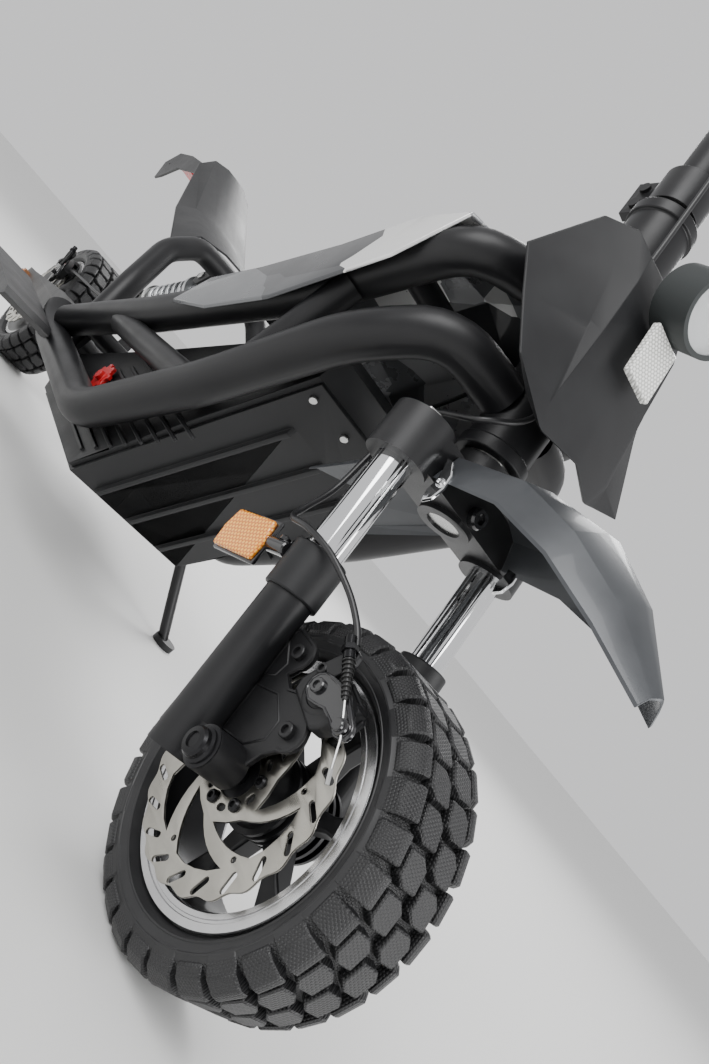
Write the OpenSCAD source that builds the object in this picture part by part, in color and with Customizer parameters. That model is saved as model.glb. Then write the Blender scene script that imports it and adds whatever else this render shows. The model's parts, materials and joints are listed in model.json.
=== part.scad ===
// Electric kick scooter with a tube truss frame, fork and swingarm suspension.
// Millimetres. +X is forward, +Y is left and +Z is up. The wheels stand on Z = 0.

/* [Wheels] */
// Distance between the two axles
wheelbase = 1300; // [1200:10:1600]
// Outer radius of the tyres
wheel_r = 128; // [120:1:150]
// Width of the tyres at the sidewalls
tyre_w = 88; // [84:1:92]
// Width of the flat tread
tread_w = 58; // [48:1:66]
// Radius of the rim where the tyre seats
seat_r = 86; // [84:1:90]
// Height of the rim flange above the seat
flange_h = 8; // [5:0.5:10]
// Radius of the brake rotors
rotor_r = 80; // [74:1:80]
// Thickness of the brake rotors
rotor_t = 2; // [1.6:0.1:3]
// Distance from the wheel's middle to the rotor's middle
rotor_y = 49; // [46:1:52]
// Diameter of the front axle
front_axle_d = 12; // [10:1:14]
// Diameter of the rear axle
rear_axle_d = 14; // [12:1:16]

/* [Fork] */
// Angle by which the steering axis leans back
rake = 19.5; // [15:0.5:24]
// Distance of the front axle ahead of the steering axis
axle_lead = 40; // [34:1:46]
// Distance between the two fork legs
leg_gap = 150; // [144:1:170]
// Diameter of the chromed inner tubes
stanchion_d = 30; // [26:1:32]
// Diameter of the black outer tubes
slider_d = 37; // [35:1:40]
// Travel of the fork
fork_travel = 55; // [30:5:60]
// Height of the crown's underside above the axle, along the fork
crown_low = 238; // [234:1:260]
// Height of the crown
crown_h = 40; // [34:1:46]

/* [Steering] */
// Outer diameter of the head tube
head_d = 58; // [52:1:64]
// Length of the head tube
head_len = 284; // [240:2:300]
// Diameter of the steerer
steerer_d = 30; // [28:1:32]
// Diameter of the stem tube
stem_d = 38; // [36:1:42]
// Height of the handlebar above the front axle, along the fork
bar_u = 1120; // [950:10:1200]
// Width over the handlebar's ends
bar_w = 640; // [560:10:720]
// Diameter of the handlebar at the grips
bar_d = 22.2; // [22:0.1:23]

/* [Frame] */
// Distance between the left and right trusses
truss_w = 240; // [232:2:280]
// Diameter of the lower rails
lower_d = 42; // [36:1:44]
// Diameter of the upper rails
upper_d = 40; // [34:1:42]
// Diameter of the braces
brace_d = 30; // [24:1:32]
// Diameter of the rear hoop
hoop_d = 32; // [28:1:36]
// Width of the battery case
case_w = 184; // [150:2:190]
// Wall of the battery case
case_wall = 3; // [2:0.5:5]

/* [Rear] */
// Length of the swingarm from pivot to axle
arm_len = 510; // [480:5:540]
// Diameter of the swingarm's pivot bolt
pivot_d = 16; // [14:1:18]
// Distance that the plate bracket reaches behind the rear axle
tail_len = 170; // [150:5:220]

/* [Hidden] */

$fn = 48;
fit = 0.05;                 // radial clearance of a running or sliding fit
gap = 0.3;                  // clearance between pieces that only pass each other
front_x = (wheelbase + tail_len - wheel_r) / 2;   // puts the origin at the middle of the length
pivot_x = arm_len - wheelbase;                    // swingarm pivot, from the front axle
pivot_z = wheel_r + 29;
head_low = crown_low + crown_h + 22;
head_high = head_low + head_len;
collar_h = 40;
collar_low = head_high + 8;
leg_y = leg_gap / 2;
truss_y = truss_w / 2;
hinge_t = 8;                // thickness of the pivot plates
arm_y = 74;                 // middle of each swingarm leg
arm_t = 20;                 // thickness of each swingarm leg
rim_half = 36;              // half the width of the rims
boss_r = 26;                // radius of the rotor's seat
hub_bolt_r = 22;            // radius of the circle of rotor bolts
caliper_turn = 62.7;        // angle of the front caliper around its axle
rear_caliper_turn = 58;     // angle of the rear caliper around its axle
arm_pin_r = rotor_r - 1;    // distance of a caliper's arm pivot from the axle
shock_top = [pivot_x - 60, 352];      // X and Z of the shock's upper eye
shock_low = [pivot_x - 215, pivot_z + 105];
shock_len = norm(shock_top - shock_low);
shock_tilt = atan2(shock_low[0] - shock_top[0], shock_low[1] - shock_top[1]);
shock_pin_r = 6;
open_gap = 1.2;             // play at the shock's lower eye, where the linkage is opened
lamp_at = [-131, 597];      // X and Z of the middle of the headlight's back
knob_at = [-590, 178];
stand_at = [-560, truss_y - 4, 106];   // outer face of the lug that holds the kickstand
stand_pin_r = 6;
lug_t = 8;
block_h = 44;               // height of the block that clamps the handlebar

// A vector of length one
function unit(v) = v / norm(v);

// Points that round the corner b between a and c, starting a distance d from it
function corner(a, b, c, d, n) =
    let(p = b + unit(a - b) * d, q = b + unit(c - b) * d)
    [for (i = [0:n]) let(t = i / n) (1 - t) * (1 - t) * p + 2 * t * (1 - t) * b + t * t * q];

// A path with its inner corners rounded
function bend(path, d = 40, n = 5) = [
    path[0],
    for (i = [1:len(path) - 2]) each corner(path[i - 1], path[i], path[i + 1], d, n),
    path[len(path) - 1]];

// A path mirrored to the other side
function flip(path, side) = [for (p = path) [p[0], p[1] * side, p[2]]];

// One vector across each direction, carried along the path without twist
function carry(dirs, i, n) = i >= len(dirs) ? [] :
    let(m = unit(n - (n * dirs[i]) * dirs[i])) concat([m], carry(dirs, i + 1, m));

// Point in the frame at height u along the fork, v ahead of it and w to the left
function fork_pt(v, w, u) = [
    -axle_lead * cos(rake) + v * cos(rake) - u * sin(rake), w,
    wheel_r - axle_lead * sin(rake) + v * sin(rake) + u * cos(rake)];

// A round bar along a path
module tube(path, d, sides = 24, across = [0, 1, 0]) {
    last = len(path) - 1;
    dirs = [for (i = [0:last]) unit(path[min(i + 1, last)] - path[max(i - 1, 0)])];
    sidewards = carry(dirs, 0, across);
    points = [for (i = [0:last]) for (k = [0:sides - 1])
        path[i] + d / 2 * (sidewards[i] * cos(360 * k / sides)
            + cross(dirs[i], sidewards[i]) * sin(360 * k / sides))];
    faces = [
        [for (k = [0:sides - 1]) k],
        [for (k = [sides - 1:-1:0]) last * sides + k],
        for (i = [0:last - 1]) for (k = [0:sides - 1])
            let(a = i * sides + k, b = i * sides + (k + 1) % sides) each [
                [a, a + sides, b + sides], [a, b + sides, b]]];
    polyhedron(points, faces, convexity = 10);
}

// A closed sheet between two grids of points of the same size
module sheet(outer, inner) {
    n = len(outer);
    m = len(outer[0]);
    points = concat([for (row = outer) each row], [for (row = inner) each row]);
    s = n * m;
    function quad(a, b, c, d) = [[a, b, c], [a, c, d]];
    faces = [
        for (i = [0:n - 2]) for (j = [0:m - 2]) let(a = i * m + j)
            each concat(quad(a, a + 1, a + m + 1, a + m),
                quad(s + a, s + a + m, s + a + m + 1, s + a + 1)),
        for (i = [0:n - 2]) let(a = i * m, b = a + m - 1)
            each concat(quad(a, a + m, s + a + m, s + a), quad(b + m, b, s + b, s + b + m)),
        for (j = [0:m - 2]) let(a = j, b = (n - 1) * m + j)
            each concat(quad(a + 1, a, s + a, s + a + 1), quad(b, b + 1, s + b + 1, s + b))];
    polyhedron(points, faces, convexity = 10);
}

// A grid of points moved by a vector
function moved(grid, by) = [for (row = grid) [for (p = row) p + by]];

// A row of points given for one side, completed with its mirror image
function mirrored(half) = concat(half, [for (i = [len(half) - 2:-1:0])
    [half[i][0], -half[i][1], half[i][2]]]);

// Places what is drawn from the point under the front axle
module frame_base() translate([front_x, 0, 0]) children();

// Places what is drawn in the fork's own axes
module fork_frame() frame_base() translate(fork_pt(0, 0, 0)) rotate([0, -rake, 0]) children();

// Places what is drawn around an axle
module front_hub() frame_base() translate([0, 0, wheel_r]) children();
module rear_hub() frame_base() translate([-wheelbase, 0, wheel_r]) children();

// Places what is drawn along the shock, from its upper eye to its lower one
module shock_frame() frame_base() translate([shock_top[0], 0, shock_top[1]])
    rotate([0, shock_tilt, 0]) children();

// A cylinder along Y between two places
module bar_y(r, y0, y1) translate([0, y1, 0]) rotate([90, 0, 0]) cylinder(h = y1 - y0, r = r);

// A plate drawn in X and Z, between two places along Y
module plate_y(y0, y1) translate([0, y1, 0]) rotate([90, 0, 0])
    linear_extrude(y1 - y0) children();

// A hexagon head along Y
module hex_y(r, y0, y1) translate([0, y1, 0]) rotate([90, 0, 0])
    cylinder(h = y1 - y0, r = r, $fn = 6);

/* Wheels */

module tyre() {
    half = tyre_w / 2;
    bead = rim_half - 4 - gap;
    wall = 7;
    mid_r = (wheel_r + seat_r) / 2;
    profile = [
        [seat_r + gap, -bead], [seat_r + flange_h + 1, -bead], [seat_r + flange_h + 2, -half + 4],
        [mid_r, -half], [wheel_r - 9, -half + 3], [wheel_r, -tread_w / 2],
        [wheel_r, tread_w / 2], [wheel_r - 9, half - 3], [mid_r, half],
        [seat_r + flange_h + 2, half - 4], [seat_r + flange_h + 1, bead], [seat_r + gap, bead],
        [seat_r + gap, bead - wall], [mid_r, half - wall - 2], [wheel_r - wall - 8, tread_w / 2],
        [wheel_r - wall - 8, -tread_w / 2], [mid_r, -half + wall + 2],
        [seat_r + gap, -bead + wall]];
    rotate([90, 0, 0]) rotate_extrude($fn = 96) polygon(profile);
}

module rim_barrel() rotate([90, 0, 0]) rotate_extrude($fn = 96) polygon([
    [seat_r - 6, -rim_half], [seat_r + flange_h, -rim_half], [seat_r + flange_h, 4 - rim_half],
    [seat_r, 4 - rim_half], [seat_r, rim_half - 4], [seat_r + flange_h, rim_half - 4],
    [seat_r + flange_h, rim_half], [seat_r - 6, rim_half]]);

module front_rim() color("dimgray") front_hub() difference() {
    union() {
        rim_barrel();
        bar_y(seat_r - 5, -6, 6);
        bar_y(20, -44, 44);
        bar_y(boss_r, rotor_t / 2 - rotor_y, 0);
    }
    bar_y(front_axle_d / 2 + fit, -60, 60);
    for (a = [0:60:300]) rotate([0, a, 0]) translate([48, 0, 0]) bar_y(15, -10, 10);
}

module front_tyre() color("#1c1c1e") front_hub() tyre();
module rear_tyre() color("#1c1c1e") rear_hub() tyre();

module rotor() {
    difference() {
        bar_y(rotor_r, -rotor_y - rotor_t / 2, -rotor_y + rotor_t / 2);
        bar_y(front_axle_d + 4, -rotor_y - 2, -rotor_y + 2);
        for (a = [0:60:300]) rotate([0, a, 0]) translate([42, 0, 0])
            bar_y(10, -rotor_y - 2, -rotor_y + 2);
        for (a = [0:22.5:340]) rotate([0, a, 0]) translate([rotor_r - 9, 0, 0])
            bar_y(3, -rotor_y - 2, -rotor_y + 2);
    }
    for (a = [30:60:330]) rotate([0, a, 0]) translate([hub_bolt_r, 0, 0])
        bar_y(4.5, -rotor_y - rotor_t / 2 - 3.5, -rotor_y - rotor_t / 2);
}

module front_rotor() color("silver") front_hub() rotor();
module rear_rotor() color("silver") rear_hub() rotor();

module motor_shell() color("#26282a") rear_hub() rotate([90, 0, 0]) rotate_extrude($fn = 96) {
    inner = rear_axle_d / 2 + fit;
    polygon([
        [inner, -44], [24, -44], [24, -38], [seat_r - 6, -rim_half],
        [seat_r + flange_h, -rim_half], [seat_r + flange_h, 4 - rim_half],
        [seat_r, 4 - rim_half], [seat_r, rim_half - 4], [seat_r + flange_h, rim_half - 4],
        [seat_r + flange_h, rim_half], [seat_r - 6, rim_half], [boss_r, 38],
        [boss_r, rotor_y - rotor_t / 2], [inner, rotor_y - rotor_t / 2],
        [inner, 28], [seat_r - 12, 28], [seat_r - 12, -28], [inner, -28]]);
}

module motor_core() color("#b87333") rear_hub() {
    nut_y = arm_y + arm_t / 2 + fit;
    bar_y(rear_axle_d / 2, -nut_y - 12, nut_y + 12);
    for (s = [-1, 1]) {
        difference() {
            hex_y(12, s > 0 ? nut_y : -nut_y - 9, s > 0 ? nut_y + 9 : -nut_y);
            bar_y(rear_axle_d / 2, -200, 200);
        }
    }
    difference() {
        bar_y(seat_r - 16, -20, 20);
        bar_y(rear_axle_d / 2, -30, 30);
    }
}

/* Frame */

module head_tube() color("#1b1b1d") fork_frame() difference() {
    union() {
        translate([0, 0, head_low]) cylinder(h = head_len, d = head_d);
        translate([0, 0, head_low]) cylinder(h = 12, d = head_d + 5);
        translate([0, 0, head_high - 12]) cylinder(h = 12, d = head_d + 5);
    }
    translate([0, 0, head_low - 1]) cylinder(h = head_len + 2, d = head_d - 16);
}

module headset_bearings() color("silver") fork_frame()
    for (u = [head_low + 2, head_high - 12]) translate([0, 0, u]) difference() {
        cylinder(h = 10, d = head_d - 16 - 2 * fit);
        translate([0, 0, -1]) cylinder(h = 12, d = steerer_d + 2 * fit);
    }

lower_path = [
    fork_pt(-4, -head_d / 2 + 4, head_low + 50), fork_pt(-22, -92, head_low + 55),
    [-226, -truss_y, 384], [-342, -truss_y, 267], [-494, -truss_y, 148],
    [pivot_x - 8, -truss_y, 150], [pivot_x - 46, -truss_y, 174]];

upper_path = [
    fork_pt(-8, -head_d / 2 + 4, head_low + 158), [-218, -truss_y + 6, 505],
    [-346, -truss_y, 390], [-572, -truss_y, 270], [pivot_x + 16, -truss_y, 178]];

module lower_rails() color("#1b1b1d") frame_base() for (s = [1, -1])
    tube(flip(bend(lower_path, 34, 6), s), lower_d);

module upper_rails() color("#1b1b1d") frame_base() for (s = [1, -1])
    tube(flip(bend(upper_path, 34, 6), s), upper_d);

module frame_braces() color("#1b1b1d") frame_base() {
    for (s = [1, -1]) {
        tube([[-622, -s * truss_y, 236], [-376, -s * truss_y, 256]], brace_d);
        tube([[-296, -s * truss_y, 420], [-314, -s * truss_y, 308]], brace_d);
    }
    difference() {
        plate_y(stand_at[1] - lug_t, stand_at[1]) polygon([
            [stand_at[0] - 20, 140], [stand_at[0] + 20, 140], [stand_at[0] + 12, 96],
            [stand_at[0] - 12, 96]]);
        translate([stand_at[0], 0, stand_at[2]]) bar_y(stand_pin_r + fit, 0, 200);
    }
    translate([-262, 0, 462]) bar_y(12, -truss_y + 14, truss_y - 14);
    translate([pivot_x + 38, 0, 196]) bar_y(12, -truss_y + 14, truss_y - 14);
}

module pivot_plates() color("#1b1b1d") frame_base() for (s = [1, -1]) difference() {
    plate_y(s > 0 ? 90 : -90 - hinge_t, s > 0 ? 90 + hinge_t : -90) polygon([
        [pivot_x + 34, 126], [pivot_x - 38, 126], [pivot_x - 48, 190], [pivot_x - 20, 214],
        [pivot_x + 44, 214]]);
    translate([pivot_x, 0, pivot_z]) bar_y(pivot_d / 2 + fit, -200, 200);
}

module pivot_bolts() color("silver") frame_base() {
    translate([pivot_x, 0, pivot_z]) {
        bar_y(pivot_d / 2, -98, 98);
    }
    translate([shock_top[0], 0, shock_top[1]]) bar_y(shock_pin_r, -30, 30);
}

module rear_hoop() color("#1b1b1d") frame_base() {
    leg = [[pivot_x + 74, -truss_y + 2, 214], [pivot_x + 46, -truss_y + 6, 270],
        [pivot_x - 10, -100, 336], [pivot_x - 36, -66, 372], [pivot_x - 38, -24, 376]];
    path = concat(leg, flip([for (i = [len(leg) - 1:-1:0]) leg[i]], -1));
    tube(bend(path, 16, 4), hoop_d, across = [1, 0, 0]);
    for (s = [1, -1]) difference() {
        plate_y(s > 0 ? 22 : -28, s > 0 ? 28 : -22) polygon([
            [pivot_x - 26, 374], [pivot_x - 48, 370], [pivot_x - 74, 352], [pivot_x - 70, 338],
            [pivot_x - 50, 338]]);
        translate([shock_top[0], 0, shock_top[1]]) bar_y(shock_pin_r + fit, -40, 40);
    }
}

module shroud() color("#8d9094") frame_base() {
    edge = truss_y + upper_d / 2 + 7;
    rows = [
        mirrored([[-492, -edge, 302], [-486, -edge + 7, 340], [-480, -80, 358], [-476, 0, 362]]),
        mirrored([[-420, -edge, 336], [-416, -edge + 7, 380], [-410, -76, 442], [-408, 0, 454]]),
        mirrored([[-335, -edge, 384], [-332, -edge + 7, 438], [-330, -78, 514], [-328, 0, 528]]),
        mirrored([[-270, -edge, 440], [-266, -edge + 7, 494], [-266, -76, 536], [-264, 0, 546]]),
        mirrored([[-240, -edge + 2, 468], [-230, -edge + 16, 520], [-232, -70, 536],
            [-234, 0, 542]])];
    inner = [for (row = rows) [for (p = row) [p[0], p[1] * (1 - 3 / edge), p[2] - 3]]];
    sheet(rows, inner);
}

case_heel = [-478, 102];    // lower front corner of the battery case, X and Z
case_nose = [-262, 346];    // upper front corner
belly_run = unit(case_nose - case_heel);
belly_out = [belly_run[1], -belly_run[0]];
belly_t = 4;

case_outline = [
    case_heel, [-722, 102], [-736, 116], [-736, 160], [-572, 240], [-352, 356],
    [-292, 386], [-262, 374], case_nose];

module battery_case() color("#232426") frame_base() {
    fin = 3;
    difference() {
        plate_y(-case_w / 2, case_w / 2) polygon(case_outline);
        plate_y(-case_w / 2 + case_wall, case_w / 2 - case_wall) offset(delta = -case_wall)
            polygon(case_outline);
    }
    for (s = [-1, 1]) for (i = [0:7])
        plate_y(s > 0 ? case_w / 2 : -case_w / 2 - fin, s > 0 ? case_w / 2 + fin : -case_w / 2)
            polygon([[-700 + i * 22, 120 + i * 15], [-480 + i * 22, 120 + i * 15],
                [-480 + i * 22, 124 + i * 15], [-700 + i * 22, 124 + i * 15]]);
}

module battery_pack() color("royalblue") frame_base()
    plate_y(-case_w / 2 + case_wall + gap, case_w / 2 - case_wall - gap) polygon([
        [-484, case_heel[1] + case_wall + gap], [-640, case_heel[1] + case_wall + gap],
        [-640, 190], [-560, 228], [-352, 334], [-300, 334]]);

module motor_controller() color("silver") frame_base()
    plate_y(-50, 50) polygon([
        [-654, case_heel[1] + case_wall + gap], [-716, case_heel[1] + case_wall + gap],
        [-716, 150], [-654, 176]]);

module belly_panel() color("#1f2022") frame_base() {
    plate_y(-case_w / 2 + 6, case_w / 2 - 6) polygon([
        [-720, case_heel[1] - gap], [-720, case_heel[1] - gap - belly_t],
        case_heel + [1.5, -gap - belly_t], case_heel + belly_out * (gap + belly_t),
        case_nose + belly_out * (gap + belly_t), case_nose + belly_out * gap,
        case_heel + belly_out * gap, case_heel + [0, -gap]]);
    for (y = [-50, 0, 50]) plate_y(y - 3, y + 3) polygon([
        case_heel + belly_out * belly_t, case_heel + belly_out * (belly_t + 6) + belly_run * 6,
        case_nose + belly_out * (belly_t + 6) - belly_run * 60,
        case_nose + belly_out * belly_t - belly_run * 54]);
}

module panel_screws() color("silver") frame_base() for (y = [-75, -25, 25, 75])
    translate([case_nose[0] - 16 * belly_run[0] + (gap + belly_t + fit) * belly_out[0], y,
        case_nose[1] - 16 * belly_run[1] + (gap + belly_t + fit) * belly_out[1]])
        rotate([0, atan2(belly_out[0], belly_out[1]), 0]) cylinder(h = 3, r = 4);

module footboards() color("#2a2b2d") frame_base() for (s = [1, -1]) {
    plate_y(s > 0 ? truss_y + 26 : -truss_y - 96, s > 0 ? truss_y + 96 : -truss_y - 26)
        polygon([[pivot_x + 92, 148], [pivot_x - 170, 148], [pivot_x - 186, 154],
            [pivot_x - 186, 162], [pivot_x + 92, 162], [pivot_x + 108, 156]]);
    for (x = [pivot_x + 60, pivot_x])
        translate([x, 0, 150]) bar_y(7, s > 0 ? truss_y - 2 : -truss_y - 26.5,
            s > 0 ? truss_y + 26.5 : -truss_y + 2);
}

module tail_fender() color("#1f2022") frame_base() {
    x0 = pivot_x - 56;
    rows = [
        mirrored([[x0 - 350, -62, 488], [x0 - 356, -46, 514], [x0 - 350, -22, 522],
            [x0 - 344, 0, 522]]),
        mirrored([[x0 - 150, -84, 396], [x0 - 160, -60, 418], [x0 - 168, -24, 430],
            [x0 - 170, 0, 432]]),
        mirrored([[x0, -96, 352], [x0, -70, 386], [x0, -28, 398], [x0, 0, 400]])];
    sheet(rows, moved(rows, [0, 0, -3]));
}

module tail_lamp() color("firebrick") frame_base()
    translate([-wheelbase - 60, 0, 0]) plate_y(-34, 34) polygon([
        [0, 500], [-26, 496], [-34, 476], [0, 484]]);

module plate_bracket() color("#1f2022") frame_base() {
    x1 = -wheelbase - tail_len;
    for (s = [1, -1]) difference() {
        plate_y(s > 0 ? 36 : -40, s > 0 ? 40 : -36) polygon([
            [pivot_x - 380, 497], [-wheelbase - 60, 506], [x1 + 30, 500], [x1, 468],
            [x1 + 34, 430], [x1 + 60, 440], [-wheelbase - 66, 470], [pivot_x - 390, 486]]);
        translate([x1 + 34, 0, 470]) bar_y(2.5, -60, 60);
    }
}

module lock_knob() color("crimson") frame_base()
    translate([knob_at[0], -case_w / 2, knob_at[1]]) {
        bar_y(6, -14, -3.4);
        difference() {
            bar_y(19, -9, -4.4);
            for (a = [0:45:315]) rotate([0, a, 0]) translate([20, 0, 0]) bar_y(5, -12, 0);
        }
    }

module kickstand() color("#1f2022") frame_base() translate(stand_at) {
    bar_y(stand_pin_r, -lug_t - 2, 1);
    bar_y(10, gap, 14);
    tube([[2, 7, 0], [18, 44, -58], [28, 72, -100]], 14);
    translate([30, 76, -stand_at[2]]) cylinder(h = 8, r = 16);
}

rear_cable_path = [
    [-212, 36, 566], [-236, 48, 526], [-262, 56, 514], [-300, 62, 494], [-380, 84, 430],
    [-470, 86, 338],
    [-560, 86, 292], [-660, 88, 256], [-740, 84, 236], [-800, 70, 232], [-900, 20, 226],
    [-960, -30, 222], [-1060, -50, 214], [-1160, -60, 206], [-1218, -60, 200]];

module rear_brake_cable() color("#111112") frame_base()
    tube(bend(rear_cable_path, 12, 3), 5, sides = 8);

/* Steering */

module steerer() color("silver") fork_frame()
    translate([0, 0, crown_low + 2]) cylinder(h = collar_low + 60 - crown_low, d = steerer_d);

module fork_crown() color("#1b1b1d") fork_frame() difference() {
    union() {
        for (s = [1, -1]) translate([0, s * leg_y, crown_low])
            cylinder(h = crown_h, d = stanchion_d + 22);
        translate([-24, -leg_y, crown_low + 4]) cube([48, leg_gap, crown_h - 8]);
        translate([0, 0, crown_low]) cylinder(h = head_low - crown_low - 2, d = head_d - 10);
    }
    for (s = [1, -1]) translate([0, s * leg_y, crown_low - 1])
        cylinder(h = crown_h + 2, d = stanchion_d + 2 * fit);
    translate([0, 0, crown_low - 1]) cylinder(h = 80, d = steerer_d + 2 * fit);
}

stanchion_low = 25 + fork_travel;

module stanchions() color("gainsboro") fork_frame() for (s = [1, -1])
    translate([0, s * leg_y, stanchion_low])
        cylinder(h = crown_low + crown_h - 2 - stanchion_low, d = stanchion_d);

module crown_fasteners() color("silver") fork_frame() {
    for (s = [1, -1]) translate([0, s * leg_y, crown_low + crown_h + fit]) {
        cylinder(h = 3, r = 18);
        translate([0, 0, 3]) cylinder(h = 6, r = 12, $fn = 6);
    }
    translate([24.1, 0, crown_low + 14]) rotate([0, 90, 0]) cylinder(h = 9, r = 9);
}

module front_fender() color("#6f7276") fork_frame() {
    u0 = crown_low + 34;
    front = [
        mirrored([[25, -58, u0 - 26], [25, -50, u0 - 2], [25, -28, u0 + 6], [25, 0, u0 + 8]]),
        mirrored([[90, -56, u0 - 34], [92, -48, u0 - 8], [94, -22, u0 + 4], [94, 0, u0 + 8]]),
        mirrored([[140, -46, u0 - 54], [143, -38, u0 - 30], [147, -14, u0 - 12],
            [148, 0, u0 - 8]]),
        mirrored([[186, -30, u0 - 82], [190, -22, u0 - 62], [195, -8, u0 - 50],
            [196, 0, u0 - 48]]),
        mirrored([[228, -12, u0 - 112], [230, -8, u0 - 104], [232, -3, u0 - 100],
            [233, 0, u0 - 99]])];
    sheet(front, moved(front, [-1, 0, -2.6]));
    rear = [
        mirrored([[-128, -46, u0 - 40], [-128, -40, u0 - 34], [-112, -12, u0 - 26],
            [-110, 0, u0 - 24]]),
        mirrored([[-25, -50, u0 - 10], [-25, -46, u0 - 2], [-25, -22, u0 + 4],
            [-25, 0, u0 + 6]])];
    sheet(rear, moved(rear, [0, 0, -2.6]));
}

module stem() color("#1b1b1d") fork_frame() difference() {
    union() {
        translate([0, 0, collar_low - 4]) cylinder(h = bar_u - collar_low - 14, d = stem_d);
        translate([-block_h / 2, -28, bar_u - block_h / 2]) cube([block_h, 56, block_h]);
    }
    translate([0, 0, collar_low - 10]) cylinder(h = 80, d = steerer_d + 2 * fit);
    translate([0, 0, bar_u]) bar_y(15.9 + fit, -60, 60);
}

module stem_collar() color("#2a2b2d") fork_frame() translate([0, 0, collar_low]) {
    difference() {
        union() {
            cylinder(h = collar_h, d = stem_d + 14);
            translate([-48, -11, 0]) cube([36, 22, collar_h]);
        }
        translate([0, 0, -1]) cylinder(h = collar_h + 2, d = stem_d + 2 * fit);
        translate([-60, -1, -1]) cube([50, 2, collar_h + 2]);
    }
    for (u = [10, 30]) translate([-36, 0, u]) {
        bar_y(5.5, -15, -11);
        bar_y(5.5, 11, 15);
    }
}

module handlebar() color("#1b1b1d") fork_frame() translate([0, 0, bar_u]) {
    bar_y(bar_d / 2, -bar_w / 2 + 2, bar_w / 2 - 2);
    bar_y(15.9, -34, 34);
}

module grips() color("#161617") fork_frame() translate([0, 0, bar_u]) for (s = [1, -1])
    difference() {
        bar_y(16, s > 0 ? bar_w / 2 - 130 : -bar_w / 2, s > 0 ? bar_w / 2 : -bar_w / 2 + 130);
        bar_y(bar_d / 2 + fit, s > 0 ? 0 : 2 - bar_w / 2, s > 0 ? bar_w / 2 - 2 : 0);
    }

module lever_perches() color("#26282a") fork_frame() translate([0, 0, bar_u])
    for (s = [1, -1]) difference() {
        union() {
            bar_y(16, s > 0 ? bar_w / 2 - 150 : -bar_w / 2 + 134,
                s > 0 ? bar_w / 2 - 134 : -bar_w / 2 + 150);
            translate([10, s * (bar_w / 2 - 142) - 8, -9]) cube([42, 16, 18]);
        }
        bar_y(bar_d / 2 + fit, -bar_w, bar_w);
        translate([36, s * (bar_w / 2 - 142) - 20, -5]) cube([30, 40, 10]);
        translate([44, s * (bar_w / 2 - 142), -20]) cylinder(h = 40, r = 3 + fit);
    }

module lever(s) fork_frame() translate([44, s * (bar_w / 2 - 142), bar_u]) {
    difference() {
        union() {
            translate([0, 0, -4.5]) cylinder(h = 9, r = 7);
            tube([[2, 0, 0], [10, s * 30, 0], [8, s * 80, 0], [14, s * 128, 0]], 9, sides = 16,
                across = [1, 0, 0]);
        }
        translate([0, 0, -9]) cylinder(h = 18, r = 3);
    }
    translate([0, 0, -9]) cylinder(h = 18, r = 3);
}

module brake_lever_right() color("#2c2d30") lever(-1);
module brake_lever_left() color("#2c2d30") lever(1);

module thumb_throttle() color("#26282a") fork_frame() translate([0, 0, bar_u]) difference() {
    union() {
        bar_y(17, -bar_w / 2 + 156, -bar_w / 2 + 172);
        translate([-8, -bar_w / 2 + 158, -44]) cube([12, 12, 34]);
    }
    bar_y(bar_d / 2 + fit, -bar_w, 0);
}

module display() color("#161617") fork_frame() translate([26, 0, bar_u + block_h / 2]) difference() {
    translate([-34, -44, 0]) cube([64, 88, 14]);
    translate([-22, 0, 4]) cylinder(h = 20, r = 7 + fit);
}

module power_button() color("silver") fork_frame()
    translate([4, 0, bar_u + block_h / 2 + 4 + 3]) cylinder(h = 9, r = 7);

panel_half = [
    [[-70, 0, 440], [-76, -40, 432], [-78, -45, 433], [-88, -64, 440]],
    [[-84, 0, 468], [-86, -50, 456], [-88, -56, 456], [-92, -94, 452]],
    [[-112, 0, 524], [-112, -46, 520], [-122, -54, 520], [-134, -104, 490]],
    [[-136, 0, 572], [-134, -44, 572], [-158, -52, 572], [-170, -112, 524]],
    [[-156, 0, 604], [-152, -40, 600], [-178, -48, 614], [-204, -64, 606]]];

module front_panel() color("#1d1e20") frame_base() {
    rows = [for (half = panel_half) concat(
        [for (i = [3:-1:1]) [half[i][0], -half[i][1], half[i][2]]], half)];
    sheet(rows, moved(rows, [-3, 0, 0]));
}

module headlight() color("#1b1b1d") frame_base() translate([lamp_at[0], 0, lamp_at[1]])
    rotate([0, 90, 0]) difference() {
        cylinder(h = 40, r = 33);
        translate([0, 0, 30]) cylinder(h = 20, r = 29);
    }

module headlight_lens() color("lightgray") frame_base()
    translate([lamp_at[0] + 30 + fit, 0, lamp_at[1]]) rotate([0, 90, 0])
        cylinder(h = 8, r = 29 - fit);

module front_reflector() color("white") frame_base()
    translate([-116, 0, 533]) rotate([0, 68, 0]) translate([-26, -19, 10.5]) cube([50, 38, 7]);

/* Fork */

module sliders() color("#1b1b1d") fork_frame() for (s = [1, -1]) difference() {
    union() {
        translate([0, s * leg_y, -16]) cylinder(h = 134, d = slider_d);
        translate([axle_lead, 0, 0]) bar_y(15, s > 0 ? leg_y - 16 : -leg_y - 13,
            s > 0 ? leg_y + 13 : -leg_y + 16);
        translate([0, s * leg_y - 8, -12]) cube([axle_lead, 16, 24]);
    }
    translate([0, s * leg_y, 20]) cylinder(h = 120, d = stanchion_d + 2 * fit);
    translate([axle_lead, 0, 0]) bar_y(front_axle_d / 2 + fit, -150, 150);
}

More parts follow.
